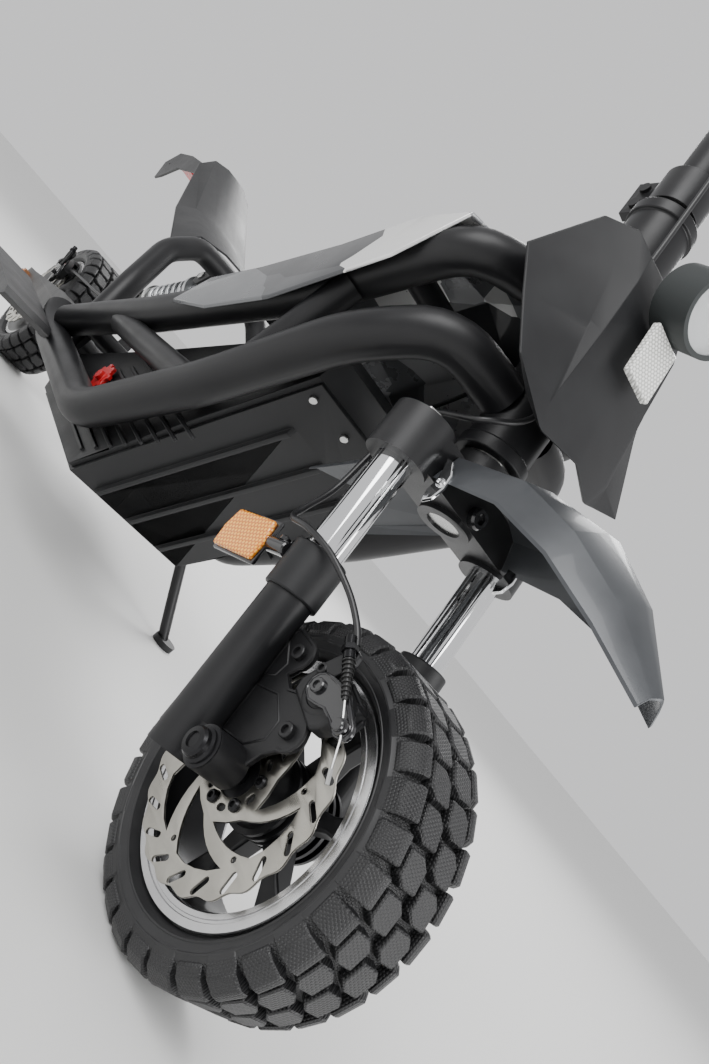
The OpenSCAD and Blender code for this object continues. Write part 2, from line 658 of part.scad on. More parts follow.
module seal_collars() color("#232426") fork_frame() for (s = [1, -1])
    translate([0, s * leg_y, 112]) difference() {
        cylinder(h = 38, d = slider_d + 6);
        translate([0, 0, -1]) cylinder(h = 7 + fit, d = slider_d + 2 * fit);
        translate([0, 0, -1]) cylinder(h = 40, d = stanchion_d + 2 * fit);
    }

module side_reflectors() color("orange") fork_frame() for (s = [1, -1]) {
    translate([-90, s * (leg_y + 20) - 4, 117]) cube([56, 8, 38]);
    translate([-33.9, s * (leg_y + 16), 138]) rotate([0, 90, 0]) cylinder(h = 20, r = 6);
}

// A disc brake's caliper, with its slot around the rotor
module caliper() difference() {
    translate([rotor_r - 22, -rotor_y - 19, -22]) cube([34, 25.5, 44]);
    bar_y(rotor_r + 2, -rotor_y - rotor_t / 2 - 0.7, -rotor_y + rotor_t / 2 + 0.7);
    translate([arm_pin_r, 0, 0]) bar_y(4, -rotor_y - 30, -rotor_y - 8);
}

// The lever on a caliper, which the cable pulls
module brake_arm() translate([arm_pin_r, 0, 0]) {
    bar_y(4 - fit, -rotor_y - 24, -rotor_y - 9);
    plate_y(-rotor_y - 24, -rotor_y - 19.4) polygon([
        [-9, 4], [0, 10], [9, 4], [16, -20], [10, -44], [2, -44], [2, -20], [-8, -4]]);
}

module front_caliper() color("#2c2d30") fork_frame() {
    translate([axle_lead, 0, 0]) rotate([0, -caliper_turn, 0]) caliper();
    difference() {
        plate_y(-rotor_y - 13.5, -rotor_y - 8) polygon([
            [8, 92], [20, 96], [36, 90], [42, 80], [40, 64], [56, 68], [82, 52], [84, 44], [66, 22],
            [52, 20], [46, 2], [30, -12], [8, 20]]);
        translate([axle_lead, 0, 0]) bar_y(15 + fit, -100, 0);
        translate([0, -leg_y, -30]) cylinder(h = 200, d = slider_d + 2 * fit);
    }
}

module caliper_arm() color("#3a3b3e") fork_frame() translate([axle_lead, 0, 0])
    rotate([0, -caliper_turn, 0]) brake_arm();

module rear_caliper() color("#2c2d30") rear_hub() {
    rotate([0, -rear_caliper_turn, 0]) caliper();
    rotate([0, -rear_caliper_turn, 0]) plate_y(-rotor_y - 14.8, -rotor_y - 8) polygon([
        [rotor_r - 22.1, 22], [20, 14], [16, 0], [20, -14], [rotor_r - 22.1, -22]]);
}

module rear_caliper_arm() color("#3a3b3e") rear_hub()
    rotate([0, -rear_caliper_turn, 0]) brake_arm();

module front_axle() color("silver") fork_frame() translate([axle_lead, 0, 0]) {
    end_y = leg_y + 13 + fit;
    bar_y(front_axle_d / 2, -end_y - 10, end_y + 10);
    for (s = [-1, 1]) difference() {
        hex_y(11, s > 0 ? end_y : -end_y - 8, s > 0 ? end_y + 8 : -end_y);
        bar_y(front_axle_d / 2, -200, 200);
    }
}

front_cable_path = [
    [30, -bar_w / 2 + 150.6, bar_u], [32, -142, bar_u], [70, -110, bar_u - 14], [66, -70, bar_u - 60],
    [48, -44, bar_u - 140], [38, -28, bar_u - 260], [37, -24, bar_u - 420],
    [37, -22, bar_u - 560], [37, -22, head_low + 120], [37, -23, head_low + 40],
    [20, -50, head_low + 7], [-18, -56, head_low + 3], [-38, -61, head_low - 10],
    [-43, -65, crown_low + 10], [-42, -72, 205], [-35, -88, 174], [-26, -97, 161],
    [0, -100, 156], [26, -92, 148], [52, -80, 132], [70, -72, 116], [79, -68, 104]];

module front_brake_cable() color("#111112") fork_frame()
    tube(bend(front_cable_path, 9, 2), 5, sides = 8);

/* Rear suspension */

module swingarm() color("#1f2022") frame_base() {
    difference() {
        union() {
            translate([pivot_x, 0, pivot_z]) bar_y(22, -88, 88);
            for (s = [1, -1]) plate_y(s > 0 ? arm_y - arm_t / 2 : -arm_y - arm_t / 2,
                s > 0 ? arm_y + arm_t / 2 : -arm_y + arm_t / 2) polygon([
                    [pivot_x, pivot_z + 20], [pivot_x - 180, pivot_z + 26],
                    [pivot_x - 250, pivot_z + 22], [-wheelbase + 24, wheel_r + 22],
                    [-wheelbase - 22, wheel_r + 18], [-wheelbase - 26, wheel_r - 18],
                    [-wheelbase + 40, wheel_r - 20], [pivot_x, pivot_z - 20]]);
            plate_y(-arm_y, arm_y) polygon([
                [pivot_x - 170, pivot_z + 18], [pivot_x - 236, pivot_z + 18],
                [pivot_x - 232, pivot_z - 12], [pivot_x - 170, pivot_z - 12]]);
            for (s = [1, -1]) plate_y(s > 0 ? 22 : -28, s > 0 ? 28 : -22) polygon([
                [pivot_x - 172, pivot_z + 10], [pivot_x - 234, pivot_z + 10],
                [pivot_x - 230, pivot_z + 112], [pivot_x - 215, pivot_z + 120],
                [pivot_x - 202, pivot_z + 112]]);
        }
        translate([pivot_x, 0, pivot_z]) bar_y(pivot_d / 2 + fit, -200, 200);
        translate([-wheelbase, 0, wheel_r]) bar_y(rear_axle_d / 2 + fit, -200, 200);
    }
    translate([shock_low[0], 0, shock_low[1]]) bar_y(shock_pin_r, -22, 22);
}

module shock_body() color("silver") shock_frame() difference() {
    union() {
        bar_y(14, -20, 20);
        cylinder(h = 105, r = 14.5);
        translate([0, 0, 38]) cylinder(h = 6, r = 25);
    }
    bar_y(shock_pin_r + fit, -40, 40);
    translate([0, 0, 26]) cylinder(h = 90, r = 7 + fit);
}

module shock_rod() color("gainsboro") shock_frame() difference() {
    union() {
        translate([0, 0, 62]) cylinder(h = shock_len - 72, r = 7);
        translate([0, 0, shock_len - 34]) cylinder(h = 6, r = 25);
        translate([0, 0, shock_len]) bar_y(14, -20, 20);
    }
    translate([0, 0, shock_len]) bar_y(shock_pin_r + open_gap, -40, 40);
}

module shock_spring() color("whitesmoke") shock_frame() {
    low = 44.2 + 3.5;
    high = shock_len - 34.2 - 3.5;
    turns = 6;
    steps = turns * 14;
    tube([for (i = [0:steps]) let(a = 360 * turns * i / steps)
        [19.5 * cos(a), 19.5 * sin(a), low + (high - low) * i / steps]], 7, sides = 8,
        across = [1, 0, 0]);
}

head_tube();
headset_bearings();
lower_rails();
upper_rails();
frame_braces();
pivot_plates();
pivot_bolts();
rear_hoop();
shroud();
battery_case();
battery_pack();
motor_controller();
belly_panel();
panel_screws();
footboards();
tail_fender();
tail_lamp();
plate_bracket();
rear_brake_cable();
kickstand();
lock_knob();
steerer();
fork_crown();
stanchions();
front_fender();
crown_fasteners();
stem();
stem_collar();
handlebar();
grips();
front_panel();
headlight();
headlight_lens();
front_reflector();
display();
lever_perches();
brake_lever_right();
brake_lever_left();
thumb_throttle();
power_button();
sliders();
seal_collars();
side_reflectors();
front_caliper();
front_axle();
front_brake_cable();
caliper_arm();
front_tyre();
front_rim();
front_rotor();
swingarm();
motor_core();
rear_caliper();
rear_caliper_arm();
rear_tyre();
motor_shell();
rear_rotor();
shock_body();
shock_rod();
shock_spring();
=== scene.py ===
import json
import math
import bpy
from mathutils import Matrix, Vector


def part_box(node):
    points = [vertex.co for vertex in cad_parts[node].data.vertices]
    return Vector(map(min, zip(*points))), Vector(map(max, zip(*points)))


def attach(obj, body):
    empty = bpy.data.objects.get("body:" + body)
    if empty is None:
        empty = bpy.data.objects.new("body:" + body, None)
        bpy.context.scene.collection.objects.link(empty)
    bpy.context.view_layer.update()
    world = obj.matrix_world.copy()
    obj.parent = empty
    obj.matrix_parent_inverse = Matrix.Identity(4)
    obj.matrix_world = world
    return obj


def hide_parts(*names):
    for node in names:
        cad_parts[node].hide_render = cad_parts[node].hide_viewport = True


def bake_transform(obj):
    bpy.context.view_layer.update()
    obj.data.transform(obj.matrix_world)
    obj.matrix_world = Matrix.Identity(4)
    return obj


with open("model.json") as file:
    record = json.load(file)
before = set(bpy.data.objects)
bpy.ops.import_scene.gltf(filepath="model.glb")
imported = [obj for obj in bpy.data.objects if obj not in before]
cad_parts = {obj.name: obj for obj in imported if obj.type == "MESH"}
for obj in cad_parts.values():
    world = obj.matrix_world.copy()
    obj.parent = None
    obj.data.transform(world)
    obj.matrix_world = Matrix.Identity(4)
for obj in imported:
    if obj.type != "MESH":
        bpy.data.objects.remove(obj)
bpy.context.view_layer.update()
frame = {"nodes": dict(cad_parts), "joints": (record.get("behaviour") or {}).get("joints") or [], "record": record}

# Places, in metres
MM = 0.001
joints = {joint["name"]: joint for joint in frame["joints"]}
tyre_low, tyre_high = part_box("front_tyre")
rear_low, rear_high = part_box("rear_tyre")
front_axle = (tyre_low + tyre_high) / 2
rear_axle = (rear_low + rear_high) / 2
steer_axis = Vector(joints["steer"]["axis"])
rake = math.atan2(-steer_axis.x, steer_axis.z)
axle_lead = 40 * MM
fork_origin = front_axle - Vector((math.cos(rake), 0, math.sin(rake))) * axle_lead
under_axle = Vector((front_axle.x, 0, 0))

# Sizes, in millimetres
tyre_r = (tyre_high.z - tyre_low.z) / 2 / MM
rim_r = 86
flange_r = 94
rotor_r = 80
rotor_y = 49
rotor_t = 2
leg_y = 75
crown_low = 238
head_low = 300
bar_u = 1120
bar_half = 320
caliper_turn = math.radians(62.7)
rear_caliper_turn = math.radians(58)
arm_pin_r = rotor_r - 1


# Shaping

def only(*pieces):
    """Selects these pieces and nothing else."""
    if bpy.context.object and bpy.context.object.mode != "OBJECT":
        bpy.ops.object.mode_set(mode="OBJECT")
    bpy.ops.object.select_all(action="DESELECT")
    for piece in pieces:
        piece.select_set(True)
    bpy.context.view_layer.objects.active = pieces[0]


def trace(name, points):
    """Draws a line of edges through points given in millimetres, and stays in edit mode."""
    bpy.ops.object.select_all(action="DESELECT")
    bpy.ops.mesh.primitive_plane_add(size=MM)
    piece = bpy.context.object
    piece.name = name
    bpy.ops.object.mode_set(mode="EDIT")
    bpy.ops.mesh.select_mode(type="VERT")
    bpy.ops.mesh.merge(type="CENTER")
    places = [Vector(point) * MM for point in points]
    bpy.ops.transform.translate(value=places[0])
    for here, there in zip(places, places[1:]):
        bpy.ops.mesh.extrude_region_move(TRANSFORM_OT_translate={"value": there - here})
    return piece


def close(piece, angle=32):
    """Joins doubled points, turns the faces outwards and smooths all but the sharp edges."""
    bpy.ops.mesh.select_all(action="SELECT")
    bpy.ops.mesh.remove_doubles(threshold=MM / 500)
    bpy.ops.mesh.normals_make_consistent(inside=False)
    bpy.ops.object.mode_set(mode="OBJECT")
    only(piece)
    bpy.ops.object.shade_smooth_by_angle(angle=math.radians(angle))
    return piece


AXES = {"X": (1, 0, 0), "Y": (0, 1, 0), "Z": (0, 0, 1)}


def turned(name, outline, axis="Y", steps=64, angle=32):
    """Spins an outline of (distance from the axis, place along it) into a round piece."""
    spots = {"Y": [(r, a, 0) for r, a in outline], "Z": [(r, 0, a) for r, a in outline],
             "X": [(a, 0, r) for r, a in outline]}[axis]
    piece = trace(name, spots)
    bpy.ops.mesh.select_all(action="SELECT")
    bpy.ops.mesh.spin(steps=steps, angle=2 * math.pi, center=(0, 0, 0), axis=AXES[axis])
    return close(piece, angle)


def slab(name, outline, low, high, axis="Y", ease=0, segments=2):
    """Raises an outline into a plate between two places along an axis."""
    spots = {"Y": [(a, low, b) for a, b in outline], "Z": [(a, b, low) for a, b in outline],
             "X": [(low, a, b) for a, b in outline]}[axis]
    piece = trace(name, spots)
    bpy.ops.mesh.select_all(action="SELECT")
    bpy.ops.mesh.edge_face_add()
    rise = Vector(AXES[axis]) * (high - low) * MM
    bpy.ops.mesh.extrude_region_move(TRANSFORM_OT_translate={"value": rise})
    close(piece)
    return eased(piece, ease, segments) if ease else piece


def eased(piece, width, segments=2, sharp=32):
    """Rounds the sharp edges, by a width in millimetres."""
    edge = piece.modifiers.new("ease", "BEVEL")
    edge.width = width * MM
    edge.segments = segments
    edge.limit_method = "ANGLE"
    edge.angle_limit = math.radians(sharp)
    edge.use_clamp_overlap = True
    edge.harden_normals = False
    only(piece)
    bpy.ops.object.modifier_apply(modifier=edge.name)
    bpy.ops.object.shade_smooth_by_angle(angle=math.radians(38))
    return piece


def pipe(name, points, radius, sides=12):
    """A round bar along points given in millimetres."""
    piece = trace(name, points)
    bpy.ops.object.mode_set(mode="OBJECT")
    only(piece)
    bpy.ops.object.convert(target="CURVE")
    line = bpy.context.object
    line.data.bevel_depth = radius * MM
    line.data.bevel_resolution = max(sides // 4 - 1, 1)
    line.data.use_fill_caps = True
    bpy.ops.object.convert(target="MESH")
    piece = bpy.context.object
    piece.name = name
    bpy.ops.object.mode_set(mode="EDIT")
    return close(piece, 50)


def flowing(points, steps=6):
    """A smooth line that passes through every point."""
    ends = [points[0]] + list(points) + [points[-1]]
    line = []
    for a, b, c, d in zip(ends, ends[1:], ends[2:], ends[3:]):
        a, b, c, d = Vector(a), Vector(b), Vector(c), Vector(d)
        for i in range(steps):
            t = i / steps
            line.append(0.5 * (2 * b + (c - a) * t + (2 * a - 5 * b + 4 * c - d) * t * t
                               + (3 * b - a - 3 * c + d) * t ** 3))
    return line + [Vector(points[-1])]


def put(piece, at=(0, 0, 0), turn=0, axis="Y"):
    """Turns a piece about an axis and moves it, and leaves its object at the origin."""
    only(piece)
    piece.matrix_world = Matrix.Translation(Vector(at)) @ Matrix.Rotation(turn, 4, axis)
    bpy.ops.object.transform_apply(location=True, rotation=True, scale=True)
    return piece


def on_fork(piece):
    """Takes a piece from the fork's own axes to its place."""
    return put(piece, fork_origin, -rake)


def on_frame(piece):
    """Takes a piece measured from the point under the front axle to its place."""
    return put(piece, under_axle)


def fork_point(ahead, left, up):
    """The place of a point given in the fork's own axes, in millimetres."""
    return fork_origin + Matrix.Rotation(-rake, 3, "Y") @ Vector((ahead, left, up)) * MM


def copied(piece, name):
    """A second piece with a mesh of its own."""
    again = piece.copy()
    again.data = piece.data.copy()
    again.name = name
    bpy.context.scene.collection.objects.link(again)
    return again


def joined(name, *pieces):
    """Makes one piece of several."""
    only(*pieces)
    if len(pieces) > 1:
        bpy.ops.object.join()
    piece = bpy.context.object
    piece.name = name
    return piece


def ring_of(name, piece, count, axis="Y"):
    """Repeats a piece evenly around an axis through the origin."""
    copies = [piece]
    for i in range(1, count):
        again = copied(piece, name)
        put(again, turn=2 * math.pi * i / count, axis=axis)
        copies.append(again)
    return joined(name, *copies)


def mirrored(piece, name):
    """The piece with its mirror image on the scooter's other side."""
    other = copied(piece, name)
    other.scale.y = -1
    only(other)
    bpy.ops.object.transform_apply(location=False, rotation=False, scale=True)
    bpy.ops.object.mode_set(mode="EDIT")
    bpy.ops.mesh.select_all(action="SELECT")
    bpy.ops.mesh.normals_make_consistent(inside=False)
    bpy.ops.object.mode_set(mode="OBJECT")
    return joined(name, piece, other)


def from_cad(node, ease=0.8, segments=2, flat=1, smooth=32, rounds=0):
    """A copy of a CAD node with its edges eased, to stand in its place."""
    piece = copied(frame["nodes"][node], node + "_finished")
    piece.parent = None
    for key in list(piece.keys()):
        del piece[key]
    only(piece)
    bpy.ops.object.mode_set(mode="EDIT")
    bpy.ops.mesh.select_all(action="SELECT")
    bpy.ops.mesh.remove_doubles(threshold=MM / 100)
    if flat:
        bpy.ops.mesh.dissolve_limited(angle_limit=math.radians(flat))
    bpy.ops.object.mode_set(mode="OBJECT")
    if rounds:
        finer = piece.modifiers.new("finer", "SUBSURF")
        finer.levels = finer.render_levels = rounds
        bpy.ops.object.modifier_apply(modifier=finer.name)
    bpy.ops.object.shade_smooth_by_angle(angle=math.radians(smooth))
    return eased(piece, ease, segments) if ease else piece


def finish(piece, body, look, *nodes):
    """Gives a piece its material and its body, and hides the CAD nodes it stands for."""
    piece.data.materials.clear()
    piece.data.materials.append(looks[look])
    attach(piece, body)
    if nodes:
        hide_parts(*nodes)
    return piece


def bending(piece, look, first, second, start, end, *nodes):
    """Gives a piece its material, bakes its place into its mesh and hides the CAD nodes it stands for; it joins no
    body and is not made to bend.
    """
    piece.data.materials.clear()
    piece.data.materials.append(looks[look])
    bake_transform(piece)
    if nodes:
        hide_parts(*nodes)
    return piece


# Materials

def group(name, inputs, outputs):
    """An empty shader node group with its sockets; returns it with its nodes' ends."""
    tree = bpy.data.node_groups.new(name, "ShaderNodeTree")
    for label, kind, value in inputs:
        socket = tree.interface.new_socket(label, in_out="INPUT", socket_type=kind)
        if value is not None:
            socket.default_value = value
    for label, kind in outputs:
        tree.interface.new_socket(label, in_out="OUTPUT", socket_type=kind)
    return tree, tree.nodes.new("NodeGroupInput"), tree.nodes.new("NodeGroupOutput")


def math_node(tree, what, a, b=None):
    """A math node fed by sockets or numbers."""
    node = tree.nodes.new("ShaderNodeMath")
    node.operation = what
    for slot, value in zip(node.inputs, (a, b)):
        if value is None:
            continue
        if isinstance(value, (int, float)):
            slot.default_value = value
        else:
            tree.links.new(value, slot)
    return node.outputs[0]


def grain_group():
    """Fine surface grain over broad patches, as a mask and a height."""
    tree, given, made = group("surface grain",
                              [("Vector", "NodeSocketVector", None),
                               ("Grain Size", "NodeSocketFloat", 900.0),
                               ("Patch Size", "NodeSocketFloat", 14.0)],
                              [("Patches", "NodeSocketFloat"), ("Height", "NodeSocketFloat")])
    fine = tree.nodes.new("ShaderNodeTexNoise")
    fine.inputs["Detail"].default_value = 3
    broad = tree.nodes.new("ShaderNodeTexNoise")
    broad.inputs["Detail"].default_value = 5
    broad.inputs["Roughness"].default_value = 0.62
    for node, scale in ((fine, "Grain Size"), (broad, "Patch Size")):
        tree.links.new(given.outputs["Vector"], node.inputs["Vector"])
        tree.links.new(given.outputs[scale], node.inputs["Scale"])
    tree.links.new(broad.outputs["Fac"], made.inputs["Patches"])
    tree.links.new(fine.outputs["Fac"], made.inputs["Height"])
    return tree


def honeycomb_group():
    """Rounded cells in staggered rows, over two coordinates; the height falls at the cell walls."""
    tree, given, made = group("honeycomb",
                              [("Across", "NodeSocketFloat", 0.0), ("Along", "NodeSocketFloat", 0.0),
                               ("Cells", "NodeSocketFloat", 400.0)],
                              [("Height", "NodeSocketFloat")])
    across = math_node(tree, "MULTIPLY", given.outputs["Across"], given.outputs["Cells"])
    along = math_node(tree, "MULTIPLY", given.outputs["Along"], given.outputs["Cells"])
    waves = []
    for turn in (0, 60, 120):
        a = math_node(tree, "MULTIPLY", across, math.cos(math.radians(turn)))
        b = math_node(tree, "MULTIPLY", along, math.sin(math.radians(turn)))
        waves.append(math_node(tree, "COSINE", math_node(tree, "ADD", a, b)))
    total = math_node(tree, "ADD", math_node(tree, "ADD", waves[0], waves[1]), waves[2])
    height = tree.nodes.new("ShaderNodeMapRange")
    height.inputs["From Min"].default_value = -1.5
    height.inputs["From Max"].default_value = 1.0
    tree.links.new(total, height.inputs["Value"])
    tree.links.new(height.outputs["Result"], made.inputs["Height"])
    return tree


grain = grain_group()
honeycomb = honeycomb_group()
looks = {}


class Look:
    """A Principled material with a grain group on its colour, roughness and bump."""

    def __init__(self, name, dark, light, rough, metal=0.0, grain_size=900.0, patches=14.0,
                 bump=0.08, depth=0.0002, coat=0.0, specular=0.5):
        self.material = bpy.data.materials.new(name)
        self.material.use_nodes = True
        self.tree = self.material.node_tree
        self.shader = self.tree.nodes["Principled BSDF"]
        self.place = self.tree.nodes.new("ShaderNodeTexCoord").outputs["Object"]
        self.grain = self.add("ShaderNodeGroup")
        self.grain.node_tree = grain
        self.grain.inputs["Grain Size"].default_value = grain_size
        self.grain.inputs["Patch Size"].default_value = patches
        self.link(self.place, self.grain.inputs["Vector"])
        self.tint = self.ramp(self.grain.outputs["Patches"], [(0.35, dark), (0.68, light)])
        self.link(self.tint, self.shader.inputs["Base Color"])
        sheen = self.add("ShaderNodeMapRange")
        sheen.inputs["From Min"].default_value = 0.3
        sheen.inputs["From Max"].default_value = 0.7
        sheen.inputs["To Min"].default_value = rough[0]
        sheen.inputs["To Max"].default_value = rough[1]
        self.link(self.grain.outputs["Patches"], sheen.inputs["Value"])
        self.rough = sheen.outputs["Result"]
        self.link(self.rough, self.shader.inputs["Roughness"])
        self.shader.inputs["Metallic"].default_value = metal
        self.shader.inputs["Coat Weight"].default_value = coat
        self.shader.inputs["Specular IOR Level"].default_value = specular
        self.bump = self.add("ShaderNodeBump")
        self.bump.inputs["Strength"].default_value = bump
        self.bump.inputs["Distance"].default_value = depth
        self.link(self.grain.outputs["Height"], self.bump.inputs["Height"])
        self.link(self.bump.outputs["Normal"], self.shader.inputs["Normal"])
        looks[name] = self.material

    def add(self, kind):
        return self.tree.nodes.new(kind)

    def link(self, a, b):
        self.tree.links.new(a, b)

    def ramp(self, value, stops, steps=False):
        """A colour for each stretch of a value."""
        node = self.add("ShaderNodeValToRGB")
        node.color_ramp.interpolation = "CONSTANT" if steps else "LINEAR"
        stretch = node.color_ramp.elements
        while len(stretch) < len(stops):
            stretch.new(0.5)
        for element, (spot, colour) in zip(stretch, stops):
            element.position = spot
            element.color = (*colour, 1)
        self.link(value, node.inputs["Fac"])
        return node.outputs["Color"]

    def raise_by(self, height, strength, depth):
        """A second bump below the grain's."""
        under = self.add("ShaderNodeBump")
        under.inputs["Strength"].default_value = strength
        under.inputs["Distance"].default_value = depth
        self.link(height, under.inputs["Height"])
        self.link(under.outputs["Normal"], self.bump.inputs["Normal"])

    def split(self, place=None):
        """The three coordinates apart."""
        node = self.add("ShaderNodeSeparateXYZ")
        self.link(place or self.place, node.inputs["Vector"])
        return node.outputs

    def around(self, centre):
        """Angle and distance about the Y axis through a centre, and the place along it."""
        shift = self.add("ShaderNodeMapping")
        shift.inputs["Location"].default_value = -Vector(centre)
        self.link(self.place, shift.inputs["Vector"])
        x, y, z = self.split(shift.outputs["Vector"])
        angle = math_node(self.tree, "ARCTAN2", x, z)
        square = math_node(self.tree, "ADD", math_node(self.tree, "MULTIPLY", x, x),
                           math_node(self.tree, "MULTIPLY", z, z))
        return angle, math_node(self.tree, "SQRT", square), y

    def cells(self, across, along, size):
        """Honeycomb height for cells of a size in metres."""
        node = self.add("ShaderNodeGroup")
        node.node_tree = honeycomb
        node.inputs["Cells"].default_value = 2 * math.pi / size
        self.link(across, node.inputs["Across"])
        self.link(along, node.inputs["Along"])
        return node.outputs["Height"]


def plain_looks():
    """The finishes that are the same wherever they are used."""
    Look("black_frame", (0.006, 0.006, 0.007), (0.010, 0.010, 0.011), (0.36, 0.48), bump=0.12,
         grain_size=1500, specular=0.35)
    Look("black_plastic", (0.008, 0.008, 0.009), (0.014, 0.0145, 0.0155), (0.40, 0.54), bump=0.3,
         grain_size=1800, specular=0.35)
    Look("fender_grey", (0.052, 0.055, 0.060), (0.070, 0.074, 0.080), (0.30, 0.40), metal=0.35,
         bump=0.06, grain_size=2400, coat=0.15)
    Look("grip_rubber", (0.012, 0.012, 0.012), (0.022, 0.022, 0.022), (0.60, 0.75), bump=0.4)
    Look("cast_black", (0.009, 0.009, 0.010), (0.018, 0.018, 0.019), (0.34, 0.48), metal=0.3,
         bump=0.35, grain_size=1100)
    Look("alloy", (0.42, 0.43, 0.44), (0.55, 0.56, 0.57), (0.26, 0.40), metal=1, bump=0.1)
    Look("chrome_tube", (0.78, 0.79, 0.80), (0.84, 0.84, 0.85), (0.035, 0.08), metal=1, bump=0.01)
    Look("red_plastic", (0.42, 0.010, 0.014), (0.56, 0.016, 0.020), (0.22, 0.34), bump=0.05, coat=0.4)
    Look("cable_black", (0.010, 0.010, 0.011), (0.018, 0.018, 0.019), (0.30, 0.42), bump=0.08)
    Look("bolt_black", (0.012, 0.012, 0.013), (0.02, 0.02, 0.022), (0.22, 0.32), metal=0.7, bump=0.05)
    Look("gloss_black", (0.010, 0.010, 0.011), (0.018, 0.018, 0.02), (0.12, 0.22), metal=0.3, bump=0.03,
         coat=0.8)
    Look("bellows_rubber", (0.012, 0.012, 0.012), (0.02, 0.02, 0.02), (0.28, 0.4), bump=0.1)
    # Painted highlight: crease_grey is a lighter grey that stands in for the light along the front panel's fold.
    Look("crease_grey", (0.10, 0.104, 0.11), (0.15, 0.155, 0.16), (0.3, 0.42), bump=0.15)
    Look("battery_blue", (0.03, 0.08, 0.32), (0.05, 0.12, 0.45), (0.35, 0.5), bump=0.1)
    Look("copper", (0.50, 0.22, 0.10), (0.62, 0.30, 0.15), (0.3, 0.45), metal=1, bump=0.2)
    Look("spring_steel", (0.50, 0.51, 0.52), (0.60, 0.61, 0.62), (0.24, 0.36), metal=0.8, bump=0.05,
         coat=0.3)


def steel_look(name, dark, light):
    """Brushed steel, with fine scratches drawn out along one way."""
    look = Look(name, dark, light, (0.24, 0.36), metal=1, bump=0.05)
    stretch = look.add("ShaderNodeMapping")
    stretch.inputs["Scale"].default_value = (300, 300, 2600)
    stretch.inputs["Rotation"].default_value = (0, 0.5, 0)
    scratches = look.add("ShaderNodeTexNoise")
    scratches.inputs["Scale"].default_value = 1.0
    scratches.inputs["Detail"].default_value = 2
    look.link(look.place, stretch.inputs["Vector"])
    look.link(stretch.outputs["Vector"], scratches.inputs["Vector"])
    look.raise_by(scratches.outputs["Fac"], 0.12, 0.0001)


def rim_looks():
    """Black paint on the wheel's barrel, and turned grooves on its bright lip."""
    Look("rim_alloy", (0.012, 0.012, 0.013), (0.022, 0.022, 0.024), (0.28, 0.40), metal=0.4, bump=0.15)
    lip = Look("machined_lip", (0.56, 0.56, 0.57), (0.70, 0.70, 0.71), (0.18, 0.30), metal=1, bump=0.03)
    _, distance, _ = lip.around(front_axle)
    grooves = math_node(lip.tree, "SINE", math_node(lip.tree, "MULTIPLY", distance, 9000.0))
    lip.raise_by(grooves, 0.10, 0.0001)


def tyre_look(name, centre):
    """Moulded rubber: a honeycomb grip texture on the tread, dust in the broad patches."""
    look = Look(name, (0.009, 0.009, 0.010), (0.018, 0.018, 0.019), (0.40, 0.56), bump=0.25,
                grain_size=700, patches=22)
    angle, distance, across = look.around(centre)
    along = math_node(look.tree, "MULTIPLY", angle, tyre_r * MM)
    height = look.cells(math_node(look.tree, "ADD", across, distance), along, 2.4 * MM)
    tread = look.add("ShaderNodeMapRange")
    tread.inputs["From Min"].default_value = (tyre_r - 18) * MM
    tread.inputs["From Max"].default_value = (tyre_r - 16) * MM
    look.link(distance, tread.inputs["Value"])
    look.raise_by(math_node(look.tree, "MULTIPLY", height, tread.outputs["Result"]), 0.7, 0.0006)


def prism_look(name, dark, light, painted_glint):
    """A reflector's face, with a honeycomb of small prisms behind a clear skin; painted shade in the cell walls, a
    painted glint in the cell middles and a faint painted glow over the face.
    """
    look = Look(name, dark, light, (0.10, 0.18), bump=0.02, coat=0.8)
    x, y, z = look.split()
    height = look.cells(math_node(look.tree, "ADD", x, y), z, 3.2 * MM)
    # Painted light: darker colour at the cell walls as painted shade, the brightest colour at the cell middles as
    # a painted glint.
    look.link(look.ramp(height, [(0.05, dark), (0.5, light), (0.95, painted_glint)]),
              look.shader.inputs["Base Color"])
    look.raise_by(height, 0.6, 0.0008)
    # Painted glow: the reflector's face gives off faint light of its own, though it is no lamp.
    look.shader.inputs["Emission Color"].default_value = (*light, 1)
    look.shader.inputs["Emission Strength"].default_value = 0.12


def lens_look():
    """Clear moulded plastic."""
    look = Look("lens", (0.85, 0.87, 0.88), (0.92, 0.93, 0.94), (0.03, 0.06), bump=0.02)
    look.shader.inputs["Transmission Weight"].default_value = 0.92
    look.shader.inputs["IOR"].default_value = 1.45


def camo_look():
    """Straight-sided patches in silver, grey, white and black."""
    look = Look("shroud_camo", (0.2, 0.2, 0.2), (0.3, 0.3, 0.3), (0.24, 0.36), metal=0.55, bump=0.04,
                coat=0.3)
    stretch = look.add("ShaderNodeMapping")
    stretch.inputs["Scale"].default_value = (8, 15, 13)
    stretch.inputs["Rotation"].default_value = (0.4, 0.7, 0.2)
    patches = look.add("ShaderNodeTexVoronoi")
    patches.inputs["Scale"].default_value = 1.0
    patches.distance = "MANHATTAN"
    look.link(look.place, stretch.inputs["Vector"])
    look.link(stretch.outputs["Vector"], patches.inputs["Vector"])
    shade = look.split(patches.outputs["Color"])[0]
    look.link(look.ramp(shade, [(0, (0.03, 0.031, 0.034)), (0.22, (0.14, 0.144, 0.15)),
                                (0.44, (0.40, 0.405, 0.415)), (0.66, (0.78, 0.78, 0.77)),
                                (0.88, (0.07, 0.072, 0.076))], steps=True),
              look.shader.inputs["Base Color"])


